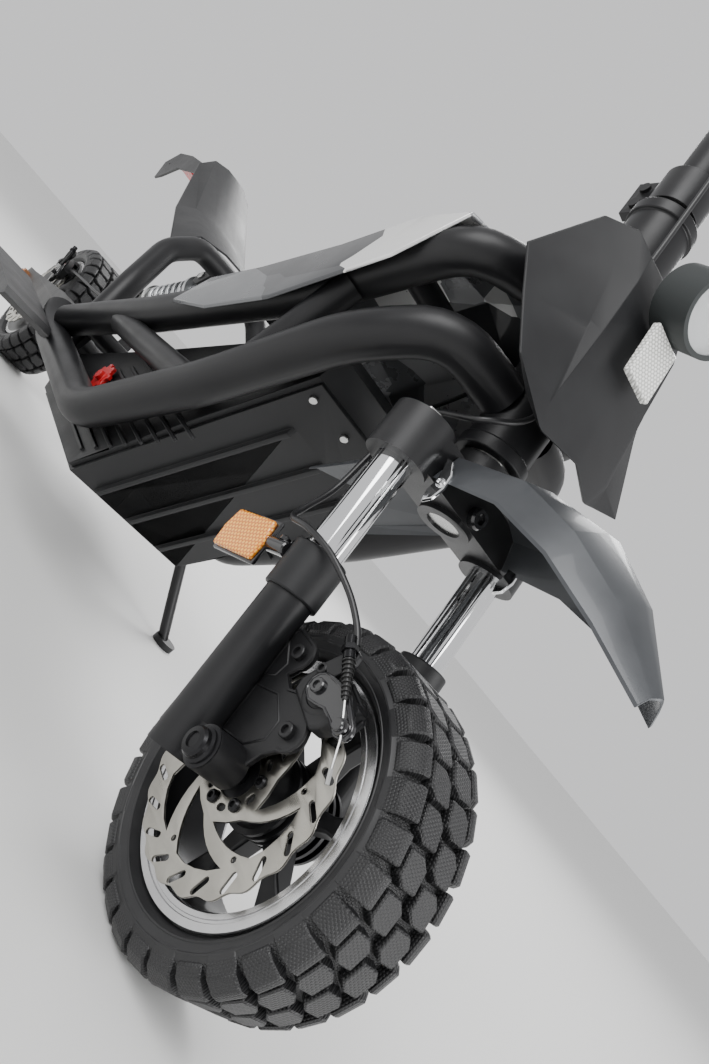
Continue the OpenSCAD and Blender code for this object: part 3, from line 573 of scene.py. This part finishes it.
plain_looks()
steel_look("steel", (0.50, 0.50, 0.49), (0.66, 0.66, 0.65))
steel_look("rotor_steel", (0.36, 0.345, 0.31), (0.50, 0.485, 0.44))
rim_looks()
tyre_look("tyre_rubber", front_axle)
tyre_look("rear_tyre_rubber", rear_axle)
prism_look("amber", (0.55, 0.13, 0.005), (0.85, 0.27, 0.012), (1.0, 0.50, 0.06))
prism_look("clear_prism", (0.42, 0.42, 0.40), (0.70, 0.70, 0.67), (0.95, 0.95, 0.92))
lens_look()
camo_look()


# Wheels

def lug(name, outline, half_width, ease=1.2):
    """One tread block at the top of the tyre, drawn in its (across, out) plane."""
    return put(slab(name, outline, -half_width, half_width, "X", ease, 1))


def tread_sector():
    """Two pitches of tread: long and short shoulder lugs, and centre blocks with slanted ends."""
    top = tyre_r - 0.4
    pitch = math.radians(12)
    lugs = []
    for i, (low, deep) in enumerate(((top - 25, 43.6), (top - 19, 43.2))):
        shoulder = [(deep - 2.5, low), (deep - 0.4, low + 4), (deep - 2.2, top - 8), (deep - 9, top - 1),
                    (deep - 13, top), (27, top), (26, top - 10), (36, top - 18)]
        for side in (-1, 1):
            block = lug("lug", [(side * across, out) for across, out in shoulder], 10.6 - 0.8 * i)
            lugs.append(put(block, turn=pitch * (i + (0.5 if side > 0 else 0))))
    centre = [(-11, 2), (5, 2), (11, 10), (11, 24), (-5, 24), (-11, 17)]
    for i in (0, 1):
        for side in (-1, 1):
            block = slab("lug", [(side * along, side * across) for along, across in centre],
                         top - 9, top, "Z", 1.2, 1)
            lugs.append(put(block, turn=pitch * (i + 0.25 + 0.5 * (side > 0))))
    return joined("tread", *lugs)


def tyre_carcass():
    """The tyre's casing with its bead, moulded rings on the sidewall and the floor of the tread."""
    half = [(rim_r + 0.6, 30.8), (flange_r + 0.6, 31.4), (flange_r + 2.2, 35.6), (98.4, 39.2),
            (99, 40.6), (100, 41), (100.6, 40.6), (103.4, 41.8), (106, 42.4), (106.6, 43), (107.8, 43),
            (108.4, 42.4), (111.6, 41.6), (115.4, 39), (118, 35), (119.6, 28), (120.4, 12)]
    return turned("carcass", half + [(r, -y) for r, y in reversed(half)] + half[:1], steps=120)


def wheel_tyre(node, centre, body, look):
    tread = ring_of("tread", tread_sector(), 15)
    tyre = put(joined(node + "_knobby", tyre_carcass(), tread), centre)
    finish(tyre, body, look, node)


def rim_lips(name, centre, body):
    """The bright turned rings on both flanges, with their steps."""
    lip = [(-13.4, 31.2), (-13.4, 33), (-12.2, 35.2), (-11.8, 35.8), (-8.6, 35.8), (-8, 35), (-6.4, 35),
           (-5.8, 36), (-0.8, 36), (-0.1, 35.2), (-0.1, 32.4), (-7.6, 31.9), (-13.4, 31.2)]
    rings = [turned(name, [(flange_r + r, side * y) for r, y in lip], steps=120) for side in (-1, 1)]
    finish(put(joined(name, *rings), centre), body, "machined_lip")


def front_rim():
    """The barrel, a finned hub and six spokes."""
    barrel = turned("barrel", [(rim_r - 5.6, -32), (rim_r, -31.8), (rim_r, 31.8), (rim_r - 5.6, 32),
                               (rim_r - 8, 20), (rim_r - 8, -20), (rim_r - 5.6, -32)], steps=96)
    fins = [(6.2, -44), (19, -44), (20, -43)]
    for y in range(-24, 26, 8):
        fins += [(26, y - 2), (30, y - 1.4), (30, y + 1.4), (26, y + 2)]
    hub = turned("hub", fins + [(20, 43), (19, 44), (6.2, 44), (6.2, -44)], steps=72)
    seat = turned("seat", [(6.2, -47.9), (25, -47.9), (26, -46.9), (26, -20), (6.2, -20), (6.2, -47.9)])
    end = rim_r - 7
    spoke = slab("spoke", [(-9, 26), (9, 26), (6, 50), (12, end), (-12, end), (-6, 50)], -9, 9, "Y", 2.4, 3)
    spokes = ring_of("spokes", spoke, 6)
    rim = put(joined("front_rim_finished", barrel, hub, seat, spokes), front_axle)
    finish(rim, "front_wheel", "rim_alloy", "front_rim")


def flat_piece(name, outer, holes, low, high, ease):
    """A flat plate across Y with holes; each outline is a list of (x, z)."""
    flat = bpy.data.curves.new(name, "CURVE")
    flat.dimensions = "2D"
    flat.fill_mode = "BOTH"
    flat.extrude = ((high - low) / 2 - ease) * MM
    flat.bevel_depth = ease * MM
    flat.bevel_resolution = 1
    flat.offset = -ease * MM
    for outline in [outer] + holes:
        loop = flat.splines.new("POLY")
        loop.points.add(len(outline) - 1)
        for point, (x, z) in zip(loop.points, outline):
            point.co = (x * MM, -z * MM, 0, 1)
        loop.use_cyclic_u = True
    piece = bpy.data.objects.new(name, flat)
    bpy.context.scene.collection.objects.link(piece)
    only(piece)
    bpy.ops.object.convert(target="MESH")
    piece = bpy.context.object
    piece.name = name
    put(piece, turn=-math.pi / 2, axis="X")
    put(piece, (0, (low + high) / 2 * MM, 0))
    bpy.ops.object.mode_set(mode="EDIT")
    return close(piece, 35)


def arc(r, start, end, steps, swell=0):
    """Points on an arc, angles in degrees; swell bends the radius in the arc's middle."""
    turns = [start + (end - start) * i / steps for i in range(steps + 1)]
    return [((r + swell * math.sin(math.pi * i / steps)) * math.cos(math.radians(a)),
             (r + swell * math.sin(math.pi * i / steps)) * math.sin(math.radians(a)))
            for i, a in enumerate(turns)]


def oblong(r, angle, tilt, length, width):
    """A round-ended slot at a distance and angle from the middle, tilted from the tangent."""
    cx, cz = r * math.cos(math.radians(angle)), r * math.sin(math.radians(angle))
    along = math.radians(angle + 90 + tilt)
    points = []
    for end, first in ((1, -90), (-1, 90)):
        for i in range(5):
            a = along + math.radians(first + 45 * i)
            points.append((cx + end * (length - width) / 2 * math.cos(along) + width / 2 * math.cos(a),
                           cz + end * (length - width) / 2 * math.sin(along) + width / 2 * math.sin(a)))
    return points


def swept(start, inner, outer, width, sweep):
    """A window between two swept arms: its sides lean by the sweep from the inner to the outer arc."""
    steps = 6
    lean = [(inner + (outer - inner) * i / steps, start + sweep * (i / steps) ** 0.8)
            for i in range(steps + 1)]
    back = [(r, a + width) for r, a in reversed(lean)]
    far = [(outer + 1, start + sweep + width * t) for t in (0.25, 0.5, 0.75)]
    near = [(inner - 1, start + width * t) for t in (0.75, 0.5, 0.25)]
    return [(r * math.cos(math.radians(a)), r * math.sin(math.radians(a)))
            for r, a in lean + far + back + near]


def rotor(name, node, centre, body):
    """A wavy brake disc: slanted slots, six swept windows, round holes in the arms and its bolts."""
    waves = 20
    outer = []
    for a in range(0, 360, 2):
        r = rotor_r - 1.5 + 1.4 * math.cos(math.radians(waves * a))
        outer.append((r * math.cos(math.radians(a)), r * math.sin(math.radians(a))))
    holes = [arc(16, 0, 350, 35)]
    for i in range(waves):
        holes.append(oblong(71, i * 360 / waves + 9, 44, 15, 4.4))
    for a in range(0, 360, 60):
        holes.append(swept(a, 33, 61, 40, 46))
        holes.append(oblong(57.5, a + 35, 0, 4.4, 4.4))
        holes.append(oblong(23, a, 0, 8, 5))
    disc = flat_piece("disc", outer, holes, -rotor_y - rotor_t / 2, -rotor_y + rotor_t / 2, 0.25)
    finish(put(disc, centre), body, "rotor_steel", node)
    face = -rotor_y - rotor_t / 2
    bolt = turned("bolt", [(0, face - 1.6), (2, face - 1.6), (2.2, face - 3.3), (3.2, face - 3.4),
                           (4.4, face - 2), (4.6, face), (0, face)], steps=20)
    put(bolt, (22 * MM * math.cos(math.pi / 6), 0, 22 * MM * math.sin(math.pi / 6)))
    finish(put(ring_of(name + "_bolts", bolt, 6), centre), body, "bolt_black")


wheel_tyre("front_tyre", front_axle, "front_wheel", "tyre_rubber")
wheel_tyre("rear_tyre", rear_axle, "rear_wheel", "rear_tyre_rubber")
rim_lips("front_rim_lips", front_axle, "front_wheel")
rim_lips("rear_rim_lips", rear_axle, "rear_wheel")
front_rim()
finish(from_cad("motor_shell", 1.2), "rear_wheel", "rim_alloy", "motor_shell")
rotor("front_disc", "front_rotor", front_axle, "front_wheel")
rotor("rear_disc", "rear_rotor", rear_axle, "rear_wheel")


# Brakes

def lobe(centre, radius, start, end, steps=6):
    """Points round a lobe of an outline, angles in degrees."""
    turns = [start + (end - start) * i / steps for i in range(steps + 1)]
    return [(centre[0] + radius * math.cos(math.radians(a)),
             centre[1] + radius * math.sin(math.radians(a))) for a in turns]


def bead(name, outline, y, radius):
    """A raised line that follows a closed outline on a face across Y."""
    return pipe(name, [(x, y, z) for x, z in outline + outline[:1]], radius, 8)


def socket_screw(name, spot, face, radius, height):
    """A cap screw with a socket, standing out of a face towards the right."""
    outline = [(0, 0), (radius, 0), (radius, -height + 0.7), (radius - 0.7, -height),
               (radius * 0.55, -height), (radius * 0.5, -height * 0.5), (0, -height * 0.5)]
    screw = turned(name, outline, steps=24)
    return put(screw, (spot[0] * MM, face * MM, spot[1] * MM))


def caliper_body(name):
    """The caliper in its own axes: outer and inner halves, the arm's housing and the cable stop."""
    outer = [(rotor_r - 20, -18), (rotor_r - 12, -23), (rotor_r + 8, -21), (rotor_r + 12, -12),
             (rotor_r + 12, 12), (rotor_r + 8, 21), (rotor_r - 12, 23), (rotor_r - 20, 18)]
    shell = slab("half", outer, -rotor_y - 18.6, -rotor_y - 3.4, "Y", 2.6, 3)
    inner = slab("half", outer, -rotor_y + 2.4, -rotor_y + 6.3, "Y", 1.2, 2)
    bridges = [slab("bridge", [(rotor_r + 3.4, z - 5), (rotor_r + 11.6, z - 5), (rotor_r + 11.6, z + 5),
                               (rotor_r + 3.4, z + 5)], -rotor_y - 6, -rotor_y + 4, "Y", 1, 2)
               for z in (-14, 14)]
    housing = turned("housing", [(0, -66), (17, -66), (17, -67.6), (15.6, -68.4), (13, -68.4),
                                 (12.4, -67.8), (0, -67.8), (0, -66)], steps=48)
    put(housing, (arm_pin_r * MM, 0, 0))
    stop = slab("stop", [(rotor_r + 6, 2), (rotor_r + 24, 0), (rotor_r + 30, 4), (rotor_r + 30, 12),
                         (rotor_r + 22, 14), (rotor_r + 6, 18)], -71, -66, "Y", 1.2, 2)
    screws = [socket_screw("screw", (rotor_r + 4, z), -rotor_y - 18.4, 4.2, 4) for z in (-15, 15)]
    return joined(name, shell, inner, housing, stop, *bridges, *screws)


def brake_arm(name):
    """The caliper's lever, with a raised edge, its pivot screw and the cable's clamp."""
    outline = (lobe((0, 0), 11, 10, 190) + [(-8, -8), (-2, -18), (-1, -30)] + lobe((5, -41), 7, 170, 340)
               + [(14, -30), (17, -16)])
    plate = slab("plate", outline, -73.4, -68.8, "Y", 1.4, 3)
    edge = bead("edge", [(x * 0.86, z * 0.93 - 1) for x, z in outline], -73.2, 0.9)
    screw = socket_screw("screw", (0, 0), -73.2, 5.2, 3)
    clamp = turned("clamp", [(0, -80.8), (3.6, -80.8), (4.2, -80.2), (4.2, -77.8), (5.4, -77.4),
                             (5.4, -75.8), (3.4, -75.4), (3.4, -73.2), (0, -73.2), (0, -80.8)], steps=24)
    put(clamp, (5 * MM, 0, -41 * MM))
    return put(joined(name, plate, edge, screw, clamp), (arm_pin_r * MM, 0, 0))


cable_stop = Vector((rotor_r + 27, -75, 9))
cable_clamp = Vector((arm_pin_r + 6, -76, -41))


def cable_end(turn):
    """From the cable stop to the arm: barrel adjuster, ribbed boot, and the bare inner cable."""
    top, low = cable_stop, cable_clamp
    along = (low - top).normalized()
    barrel = pipe("barrel", [top - along * 9, top + along * 8], 4.2, 12)
    nut = pipe("nut", [top - along * 2, top + along * 2], 5.6, 8)
    rings = []
    for i in range(9):
        spot = top + along * (9 + 3.1 * i)
        rings.append(pipe("rib", [spot, spot + along * 0.9], 4.6 - 0.22 * i, 12))
        rings.append(pipe("rib", [spot + along * 0.6, spot + along * 3.1], 3.4 - 0.2 * i, 12))
    tail = low + Vector((-22, 4, -26))
    inner = pipe("inner", [top, low, low + Vector((-4, 0.5, -7)), tail], 0.8, 8)
    crimp = pipe("crimp", [tail - (tail - low).normalized() * 9, tail], 1.5, 8)
    pieces = (joined("cable_barrel", barrel, nut), joined("cable_boot", *rings),
              joined("inner_cable", inner, crimp))
    return [put(piece, turn=-turn) for piece in pieces]


def front_bracket():
    """The cast bracket between the fork leg and the caliper, with beaded edges and ribs."""
    outline = ([(9, 20), (9, 90)] + lobe((19, 93), 6, 150, 60, 3) + lobe((32, 84), 11, 60, -60, 6)
               + [(33, 68), (44, 60), (56, 62), (70, 56)] + lobe((68, 38), 13, 50, -90, 6)
               + [(58, 18), (52, 6), (30, -12), (14, -12)])
    plate = slab("plate", outline, -63, -57, "Y", 1.2, 2)
    edge = bead("edge", outline, -62.6, 1.5)
    window = bead("rib", [(14, 88), (27, 74), (24, 64), (14, 60)], -62.6, 1.1)
    web = bead("rib", [(14, 52), (38, 54), (54, 40), (54, 26), (40, 16), (14, 16)], -62.6, 1.1)
    screws = [socket_screw("screw", spot, -62.6, 5.6, 5) for spot in ((32, 84), (68, 38))]
    return joined("front_bracket", plate, edge, window, web, *screws)


def brakes():
    lead = (axle_lead, 0, 0)
    body = put(put(caliper_body("caliper_cast"), turn=-caliper_turn), lead)
    finish(on_fork(joined("front_caliper_finished", front_bracket(), body)), "fork_lower", "cast_black",
           "front_caliper")
    arm = put(put(brake_arm("front_arm_finished"), turn=-caliper_turn), lead)
    finish(on_fork(arm), "front_arm", "gloss_black", "caliper_arm")
    turned_by = Matrix.Rotation(-caliper_turn, 3, "Y")
    start, end = [fork_point(*(turned_by @ spot + Vector((axle_lead / MM, 0, 0))))
                  for spot in (cable_stop, cable_clamp)]
    barrel, boot, wire = cable_end(caliper_turn)
    finish(on_fork(put(barrel, lead)), "fork_lower", "bolt_black")
    bending(on_fork(put(boot, lead)), "bellows_rubber", "fork_lower", "front_arm", start, end)
    bending(on_fork(put(wire, lead)), "steel", "fork_lower", "front_arm", start, end)
    body = put(caliper_body("rear_caliper_body"), rear_axle, -rear_caliper_turn)
    outline = [(rotor_r - 18, 20), (24, 16), (16, 4), (16, -4), (24, -16), (rotor_r - 18, -20)]
    link = put(slab("rear_link", outline, -rotor_y - 14.8, -rotor_y - 8, "Y", 1.2, 2), rear_axle,
               -rear_caliper_turn)
    finish(joined("rear_caliper_finished", body, link), "swingarm", "cast_black", "rear_caliper")
    arm = put(brake_arm("rear_caliper_arm_finished"), rear_axle, -rear_caliper_turn)
    finish(arm, "rear_arm", "gloss_black", "rear_caliper_arm")
    turned_by = Matrix.Rotation(-rear_caliper_turn, 3, "Y")
    start, end = [rear_axle + turned_by @ spot * MM for spot in (cable_stop, cable_clamp)]
    barrel, boot, wire = cable_end(rear_caliper_turn)
    finish(put(barrel, rear_axle), "swingarm", "bolt_black")
    bending(put(boot, rear_axle), "bellows_rubber", "swingarm", "rear_arm", start, end)
    bending(put(wire, rear_axle), "steel", "swingarm", "rear_arm", start, end)


brakes()


# Lamps

def headlight():
    """A round lamp: housing, bright bezel, mirrored bowl with facets, and a ribbed lens."""
    low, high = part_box("headlight")
    centre = Vector((low.x, 0, (low.z + high.z) / 2))
    reach = (high.x - low.x) / MM
    shell = turned("headlight_shell", [(0, 0), (16, 0), (26, 3), (31, 9), (32.6, 16), (32.8, reach - 5),
                                       (31.6, reach - 2.4), (29.4, reach - 2.4), (29.4, reach - 10),
                                       (0, reach - 10)], "X", 72)
    finish(put(shell, centre), "frame", "black_plastic", "headlight")
    bezel = turned("headlight_bezel", [(32.9, reach - 6), (33, reach - 1.6), (32, reach - 0.2), (29.8, reach),
                                       (28.8, reach - 1.4), (28.8, reach - 5), (31, reach - 6),
                                       (32.9, reach - 6)], "X", 72)
    finish(put(bezel, centre), "frame", "alloy")
    bowl = turned("headlight_bowl", [(8, reach - 15), (14, reach - 13), (20, reach - 9), (26, reach - 5),
                                     (28.6, reach - 4), (28.6, reach - 5), (20, reach - 10.4),
                                     (8, reach - 16), (8, reach - 15)], "X", 18, angle=5)
    finish(put(bowl, centre), "frame", "chrome_tube")
    bulb = turned("headlight_bulb", [(0, reach - 6), (5, reach - 7), (7, reach - 10), (7, reach - 15),
                                     (0, reach - 15)], "X", 32)
    finish(put(bulb, centre), "frame", "clear_prism")
    rings = [(0, reach - 1.6)]
    for r in range(3, 28, 3):
        rings += [(r - 0.7, reach - 1.7), (r, reach - 1.1)]
    back = [(28.6, reach - 2.6), (28.6, reach - 4), (0, reach - 3.2), (0, reach - 1.6)]
    lens = turned("headlight_cover", rings + back, "X", 72)
    finish(put(lens, centre), "frame", "lens", "headlight_lens")


# Cables, spring and trim

def front_cable():
    """The front brake's cable, from the lever down behind the right leg to the caliper."""
    path = [(30, -169.4, bar_u), (32, -142, bar_u), (70, -110, bar_u - 14), (66, -70, bar_u - 60),
            (48, -44, bar_u - 140), (38, -28, bar_u - 260), (37, -24, bar_u - 420),
            (37, -22, bar_u - 560), (37, -22, head_low + 120), (37, -23, head_low + 40),
            (20, -50, head_low + 7), (-18, -56, head_low + 3), (-38, -61, head_low - 10),
            (-43, -65, crown_low + 10), (-42, -72, 205), (-35, -88, 174), (-26, -97, 161),
            (0, -100, 156), (26, -92, 148), (52, -80, 132), (70, -73, 116), (79, -70, 104)]
    cable = on_fork(pipe("front_cable_finished", flowing(path, 8), 2.5, 12))
    bending(cable, "cable_black", "steering", "fork_lower", fork_point(0, -75, 236),
            fork_point(0, -75, 166), "front_brake_cable")


def rear_cable():
    """The rear brake's cable, along the battery box and the swingarm to its caliper."""
    path = [(-212, 36, 566), (-236, 48, 526), (-262, 56, 514), (-300, 62, 494), (-380, 84, 430),
            (-470, 86, 338), (-560, 86, 292), (-660, 88, 256), (-740, 84, 236), (-800, 70, 232),
            (-900, 20, 226), (-960, -30, 222), (-1060, -50, 214), (-1160, -60, 206), (-1218, -60, 200)]
    cable = on_frame(pipe("rear_cable_finished", flowing(path, 8), 2.5, 12))
    pivot = Vector(joints["swing"]["pos_m"])
    bending(cable, "cable_black", "frame", "swingarm", pivot, pivot - Vector((0.12, 0, 0)),
            "rear_brake_cable")


def shock_spring():
    """The coil between the shock's collars, baked in place; it is not made to shorten with the shock."""
    top = Vector(joints["shock_turn"]["pos_m"])
    along = Vector(joints["shock_slide"]["axis"]).normalized() * MM
    bending(from_cad("shock_spring", 0, smooth=60), "spring_steel", "shock_upper", "shock_lower",
            top - along * 46, top - along * 143, "shock_spring")


def side_reflectors():
    """A black stub and holder on each leg, with an amber prism face; no pale border is drawn."""
    holders, faces = [], []
    for side in (-1, 1):
        out = side * (leg_y + 24)
        body = slab("holder", [(-90, 117), (-34, 117), (-34, 155), (-90, 155)],
                    side * (leg_y + 16.2), side * (leg_y + 20), "Y", 1.6, 2)
        stub = turned("stub", [(0, -37), (5, -37), (6, -36), (6, -15), (5, -14), (0, -14), (0, -37)], "X", 24)
        put(stub, (0, side * (leg_y + 16) * MM, 138 * MM))
        bolt = turned("bolt", [(0, 0), (4.4, 0), (4.4, 3), (3, 4), (0, 4), (0, 0)], "Z", 20)
        put(bolt, (-24 * MM, side * (leg_y + 16) * MM, 143.2 * MM))
        holders += [body, stub, bolt]
        rim = slab("rim", [(-88, 119), (-36, 119), (-34.6, 136), (-38, 153), (-86, 153), (-90, 136)],
                   side * (leg_y + 19), out, "Y", 2.4, 3)
        faces.append(rim)
    finish(on_fork(joined("reflector_holders", *holders)), "fork_lower", "gloss_black", "side_reflectors")
    finish(on_fork(joined("reflector_faces", *faces)), "fork_lower", "amber")


def axle_ends():
    """The front axle with a ringed dome nut at each end."""
    nuts = []
    for side in (-1, 1):
        rings = [(0, 87), (14.6, 87), (14.8, 89), (12.6, 89.6), (12.6, 91.4), (10.6, 92.4), (10.4, 95.6),
                 (9, 97.4), (5.4, 98), (4.8, 96.6), (0, 96.6), (0, 87)]
        nuts.append(turned("nut", [(r, side * y) for r, y in rings], steps=48))
    bar = turned("bar", [(0, -86), (5.9, -86), (5.9, 86), (0, 86), (0, -86)], steps=32)
    piece = put(joined("front_axle_finished", bar, *nuts), (axle_lead, 0, 0))
    finish(on_fork(piece), "fork_lower", "bolt_black", "front_axle")


def crown_caps():
    """On each clamp a dark cap with a bright flange nut, and the crown's middle bolt."""
    caps, nuts = [], []
    for side in (-1, 1):
        cap = turned("cap", [(0, 278), (18, 278), (17.6, 280.6), (16, 281), (0, 281), (0, 278)], "Z", 48)
        caps.append(put(cap, (0, side * leg_y * MM, 0)))
        flange = turned("flange", [(0, 281), (13.4, 281), (12.8, 282.6), (10.6, 283.4), (0, 283.4),
                                   (0, 281)], "Z", 48)
        six = lobe((0, 0), 10.4, 0, 300, 5)
        head = slab("head", six, 283, 287, "Z", 0.8, 2)
        hole = turned("hole", [(5.6, 287.1), (6.4, 287.5), (7.4, 287), (5.6, 286.6), (5.6, 287.1)], "Z", 32)
        for shape in (flange, head, hole):
            nuts.append(put(shape, (0, side * leg_y * MM, 0)))
    bolt = turned("bolt", [(0, 24.1), (9, 24.1), (9, 29), (7.6, 31), (4.4, 31), (4, 28), (0, 28), (0, 24.1)],
                  "X", 32)
    put(bolt, (0, 0, (crown_low + 14) * MM))
    finish(on_fork(joined("crown_nuts", *nuts)), "steering", "steel", "crown_fasteners")
    finish(on_fork(joined("crown_dark_caps", bolt, *caps)), "steering", "gloss_black")


def crown_plates():
    """Two small polished plates with hollowed edges, where the fender hangs from the crown."""
    outline = [(26, 262), (34, 259), (41, 248), (42, 236), (38, 226), (30, 222), (28, 232), (31, 242),
               (29, 252)]
    plates = [slab("plate", outline, side * 56.5, side * 59.5, "Y", 0.8, 2) for side in (-1, 1)]
    screws = []
    for side in (-1, 1):
        screw = turned("screw", [(0, 59.4 * side), (4, 59.4 * side), (3.4, 61.6 * side), (1.8, 61.8 * side),
                                 (1.6, 60.6 * side), (0, 60.6 * side), (0, 59.4 * side)], steps=20)
        screws.append(put(screw, (36 * MM, 0, 240 * MM)))
    finish(on_fork(joined("crown_plates", *plates, *screws)), "steering", "chrome_tube")


def grips():
    """Rubber grips with raised rings and a flange at the inner end."""
    pieces = []
    for side in (-1, 1):
        line = [(0, bar_half), (10, bar_half), (15, bar_half - 2), (15.8, bar_half - 5)]
        spot = bar_half - 8
        while spot > bar_half - 118:
            line += [(15.8, spot), (15.8, spot - 3), (14.4, spot - 3.6), (14.4, spot - 5)]
            spot -= 5.6
        line += [(16, bar_half - 122), (16, bar_half - 130), (11.2, bar_half - 130), (0, bar_half - 128),
                 (0, bar_half)]
        pieces.append(turned("grip", [(r, side * y) for r, y in line], steps=40))
    piece = put(joined("grips_finished", *pieces), (0, 0, bar_u * MM))
    finish(on_fork(piece), "steering", "grip_rubber", "grips")


def shroud():
    """The painted cover, its side skirts drawn down over the upper rails."""
    piece = from_cad("shroud", 0, flat=0)
    for vertex in piece.data.vertices:
        behind = (under_axle.x - vertex.co.x) / MM
        if abs(vertex.co.y) > 141 * MM:
            share = max(0.0, 1 - (abs(behind - 345) / 160) ** 3)
            vertex.co.z -= 24 * MM * share
    finish(eased(piece, 0.8, 2, 12), "frame", "shroud_camo", "shroud")


shroud()
shock_spring()
front_cable()
rear_cable()
side_reflectors()
axle_ends()
crown_caps()
crown_plates()
grips()


# Everything that keeps its CAD shape: how far its edges are eased, and what angle is smoothed

EASE = {
    "pivot_plates": 1.0, "pivot_bolts": 0.8, "rear_hoop": 0, "battery_case": 0.8,
    "belly_panel": 0.6, "panel_screws": 0.5, "footboards": 2.0, "tail_fender": 0.8, "tail_lamp": 1.5,
    "plate_bracket": 0.8, "kickstand": 0, "lock_knob": 0.8, "fork_crown": 1.6, "stanchions": 0,
    "front_fender": 0.5, "stem": 1.2, "stem_collar": 1.4, "handlebar": 0,
    "front_panel": 0.8, "display": 3.0, "lever_perches": 1.6, "thumb_throttle": 2.0,
    "power_button": 0.8, "sliders": 1.2, "seal_collars": 1.6, "swingarm": 2.0, "shock_body": 0.8,
    "shock_rod": 0.8, "head_tube": 1.2, "front_reflector": 1.2}
SMOOTH = {"lower_rails": 50, "upper_rails": 50, "frame_braces": 50, "rear_hoop": 50,
          "brake_lever_right": 50, "brake_lever_left": 50, "kickstand": 50}

record = frame["record"]
body_of = {node: body for body, nodes in record["behaviour"]["bodies"].items() for node in nodes}
slot_of = {part["node"]: part["material_slot"] for part in record["subparts"]}
replaced = {"front_tyre", "rear_tyre", "front_rim", "motor_shell", "front_rotor", "rear_rotor",
            "front_caliper", "rear_caliper", "caliper_arm", "rear_caliper_arm", "headlight",
            "headlight_lens", "front_brake_cable", "rear_brake_cable", "side_reflectors",
            "front_axle", "crown_fasteners", "grips", "shroud",
            "shock_spring"}
inside = {"battery_pack", "motor_controller", "headset_bearings", "steerer", "motor_core"}
for node in frame["nodes"]:
    if node in replaced:
        continue
    if node in inside:
        piece = frame["nodes"][node]
        piece.data.materials.clear()
        piece.data.materials.append(looks[slot_of[node]])
        continue
    piece = from_cad(node, EASE.get(node, 0), smooth=SMOOTH.get(node, 32))
    finish(piece, body_of[node], slot_of[node], node)


# Floor, light and camera

def studio():
    only(frame["nodes"]["head_tube"])
    bpy.ops.object.select_all(action="DESELECT")
    bpy.ops.mesh.primitive_plane_add(size=40)
    floor = bpy.context.object
    floor.name = "floor"
    pale = bpy.data.materials.new("pale_floor")
    pale.use_nodes = True
    pale.node_tree.nodes["Principled BSDF"].inputs["Base Color"].default_value = (0.78, 0.78, 0.77, 1)
    pale.node_tree.nodes["Principled BSDF"].inputs["Roughness"].default_value = 0.6
    floor.data.materials.append(pale)
    world = bpy.data.worlds.new("studio")
    bpy.context.scene.world = world
    world.use_nodes = True
    world.node_tree.nodes["Background"].inputs["Color"].default_value = (0.90, 0.90, 0.91, 1)
    world.node_tree.nodes["Background"].inputs["Strength"].default_value = 0.95
    for name, place, size, power in (("key", (1.0, -2.6, 2.6), 2.2, 110), ("rim", (-1.8, 1.6, 2.4), 2.0, 90),
                                     ("side", (2.8, 1.2, 1.0), 1.6, 50)):
        bpy.ops.object.light_add(type="AREA", location=place)
        lamp = bpy.context.object
        lamp.name = name
        lamp.data.size = size
        lamp.data.energy = power
        aim = Vector((0.4, 0, 0.4)) - Vector(place)
        lamp.rotation_euler = aim.to_track_quat("-Z", "Y").to_euler()


def camera():
    """Low beside the front wheel, level, and rolled so that the scooter seems to lean."""
    right = Vector((0.3836, 0.5234, 0.7609)).normalized()
    back = Vector((0.8033, -0.5956, 0.0048))
    up = back.cross(right).normalized()
    back = right.cross(up)
    bpy.ops.object.camera_add(location=under_axle + Vector((0.4147, -0.4449, 0.2869)))
    lens = bpy.context.object
    lens.name = "view"
    lens.rotation_euler = Matrix((right, up, back)).transposed().to_euler()
    lens.data.sensor_width = 36
    lens.data.lens = 30.1
    lens.data.clip_start = 0.01
    bpy.context.scene.camera = lens


studio()
camera()
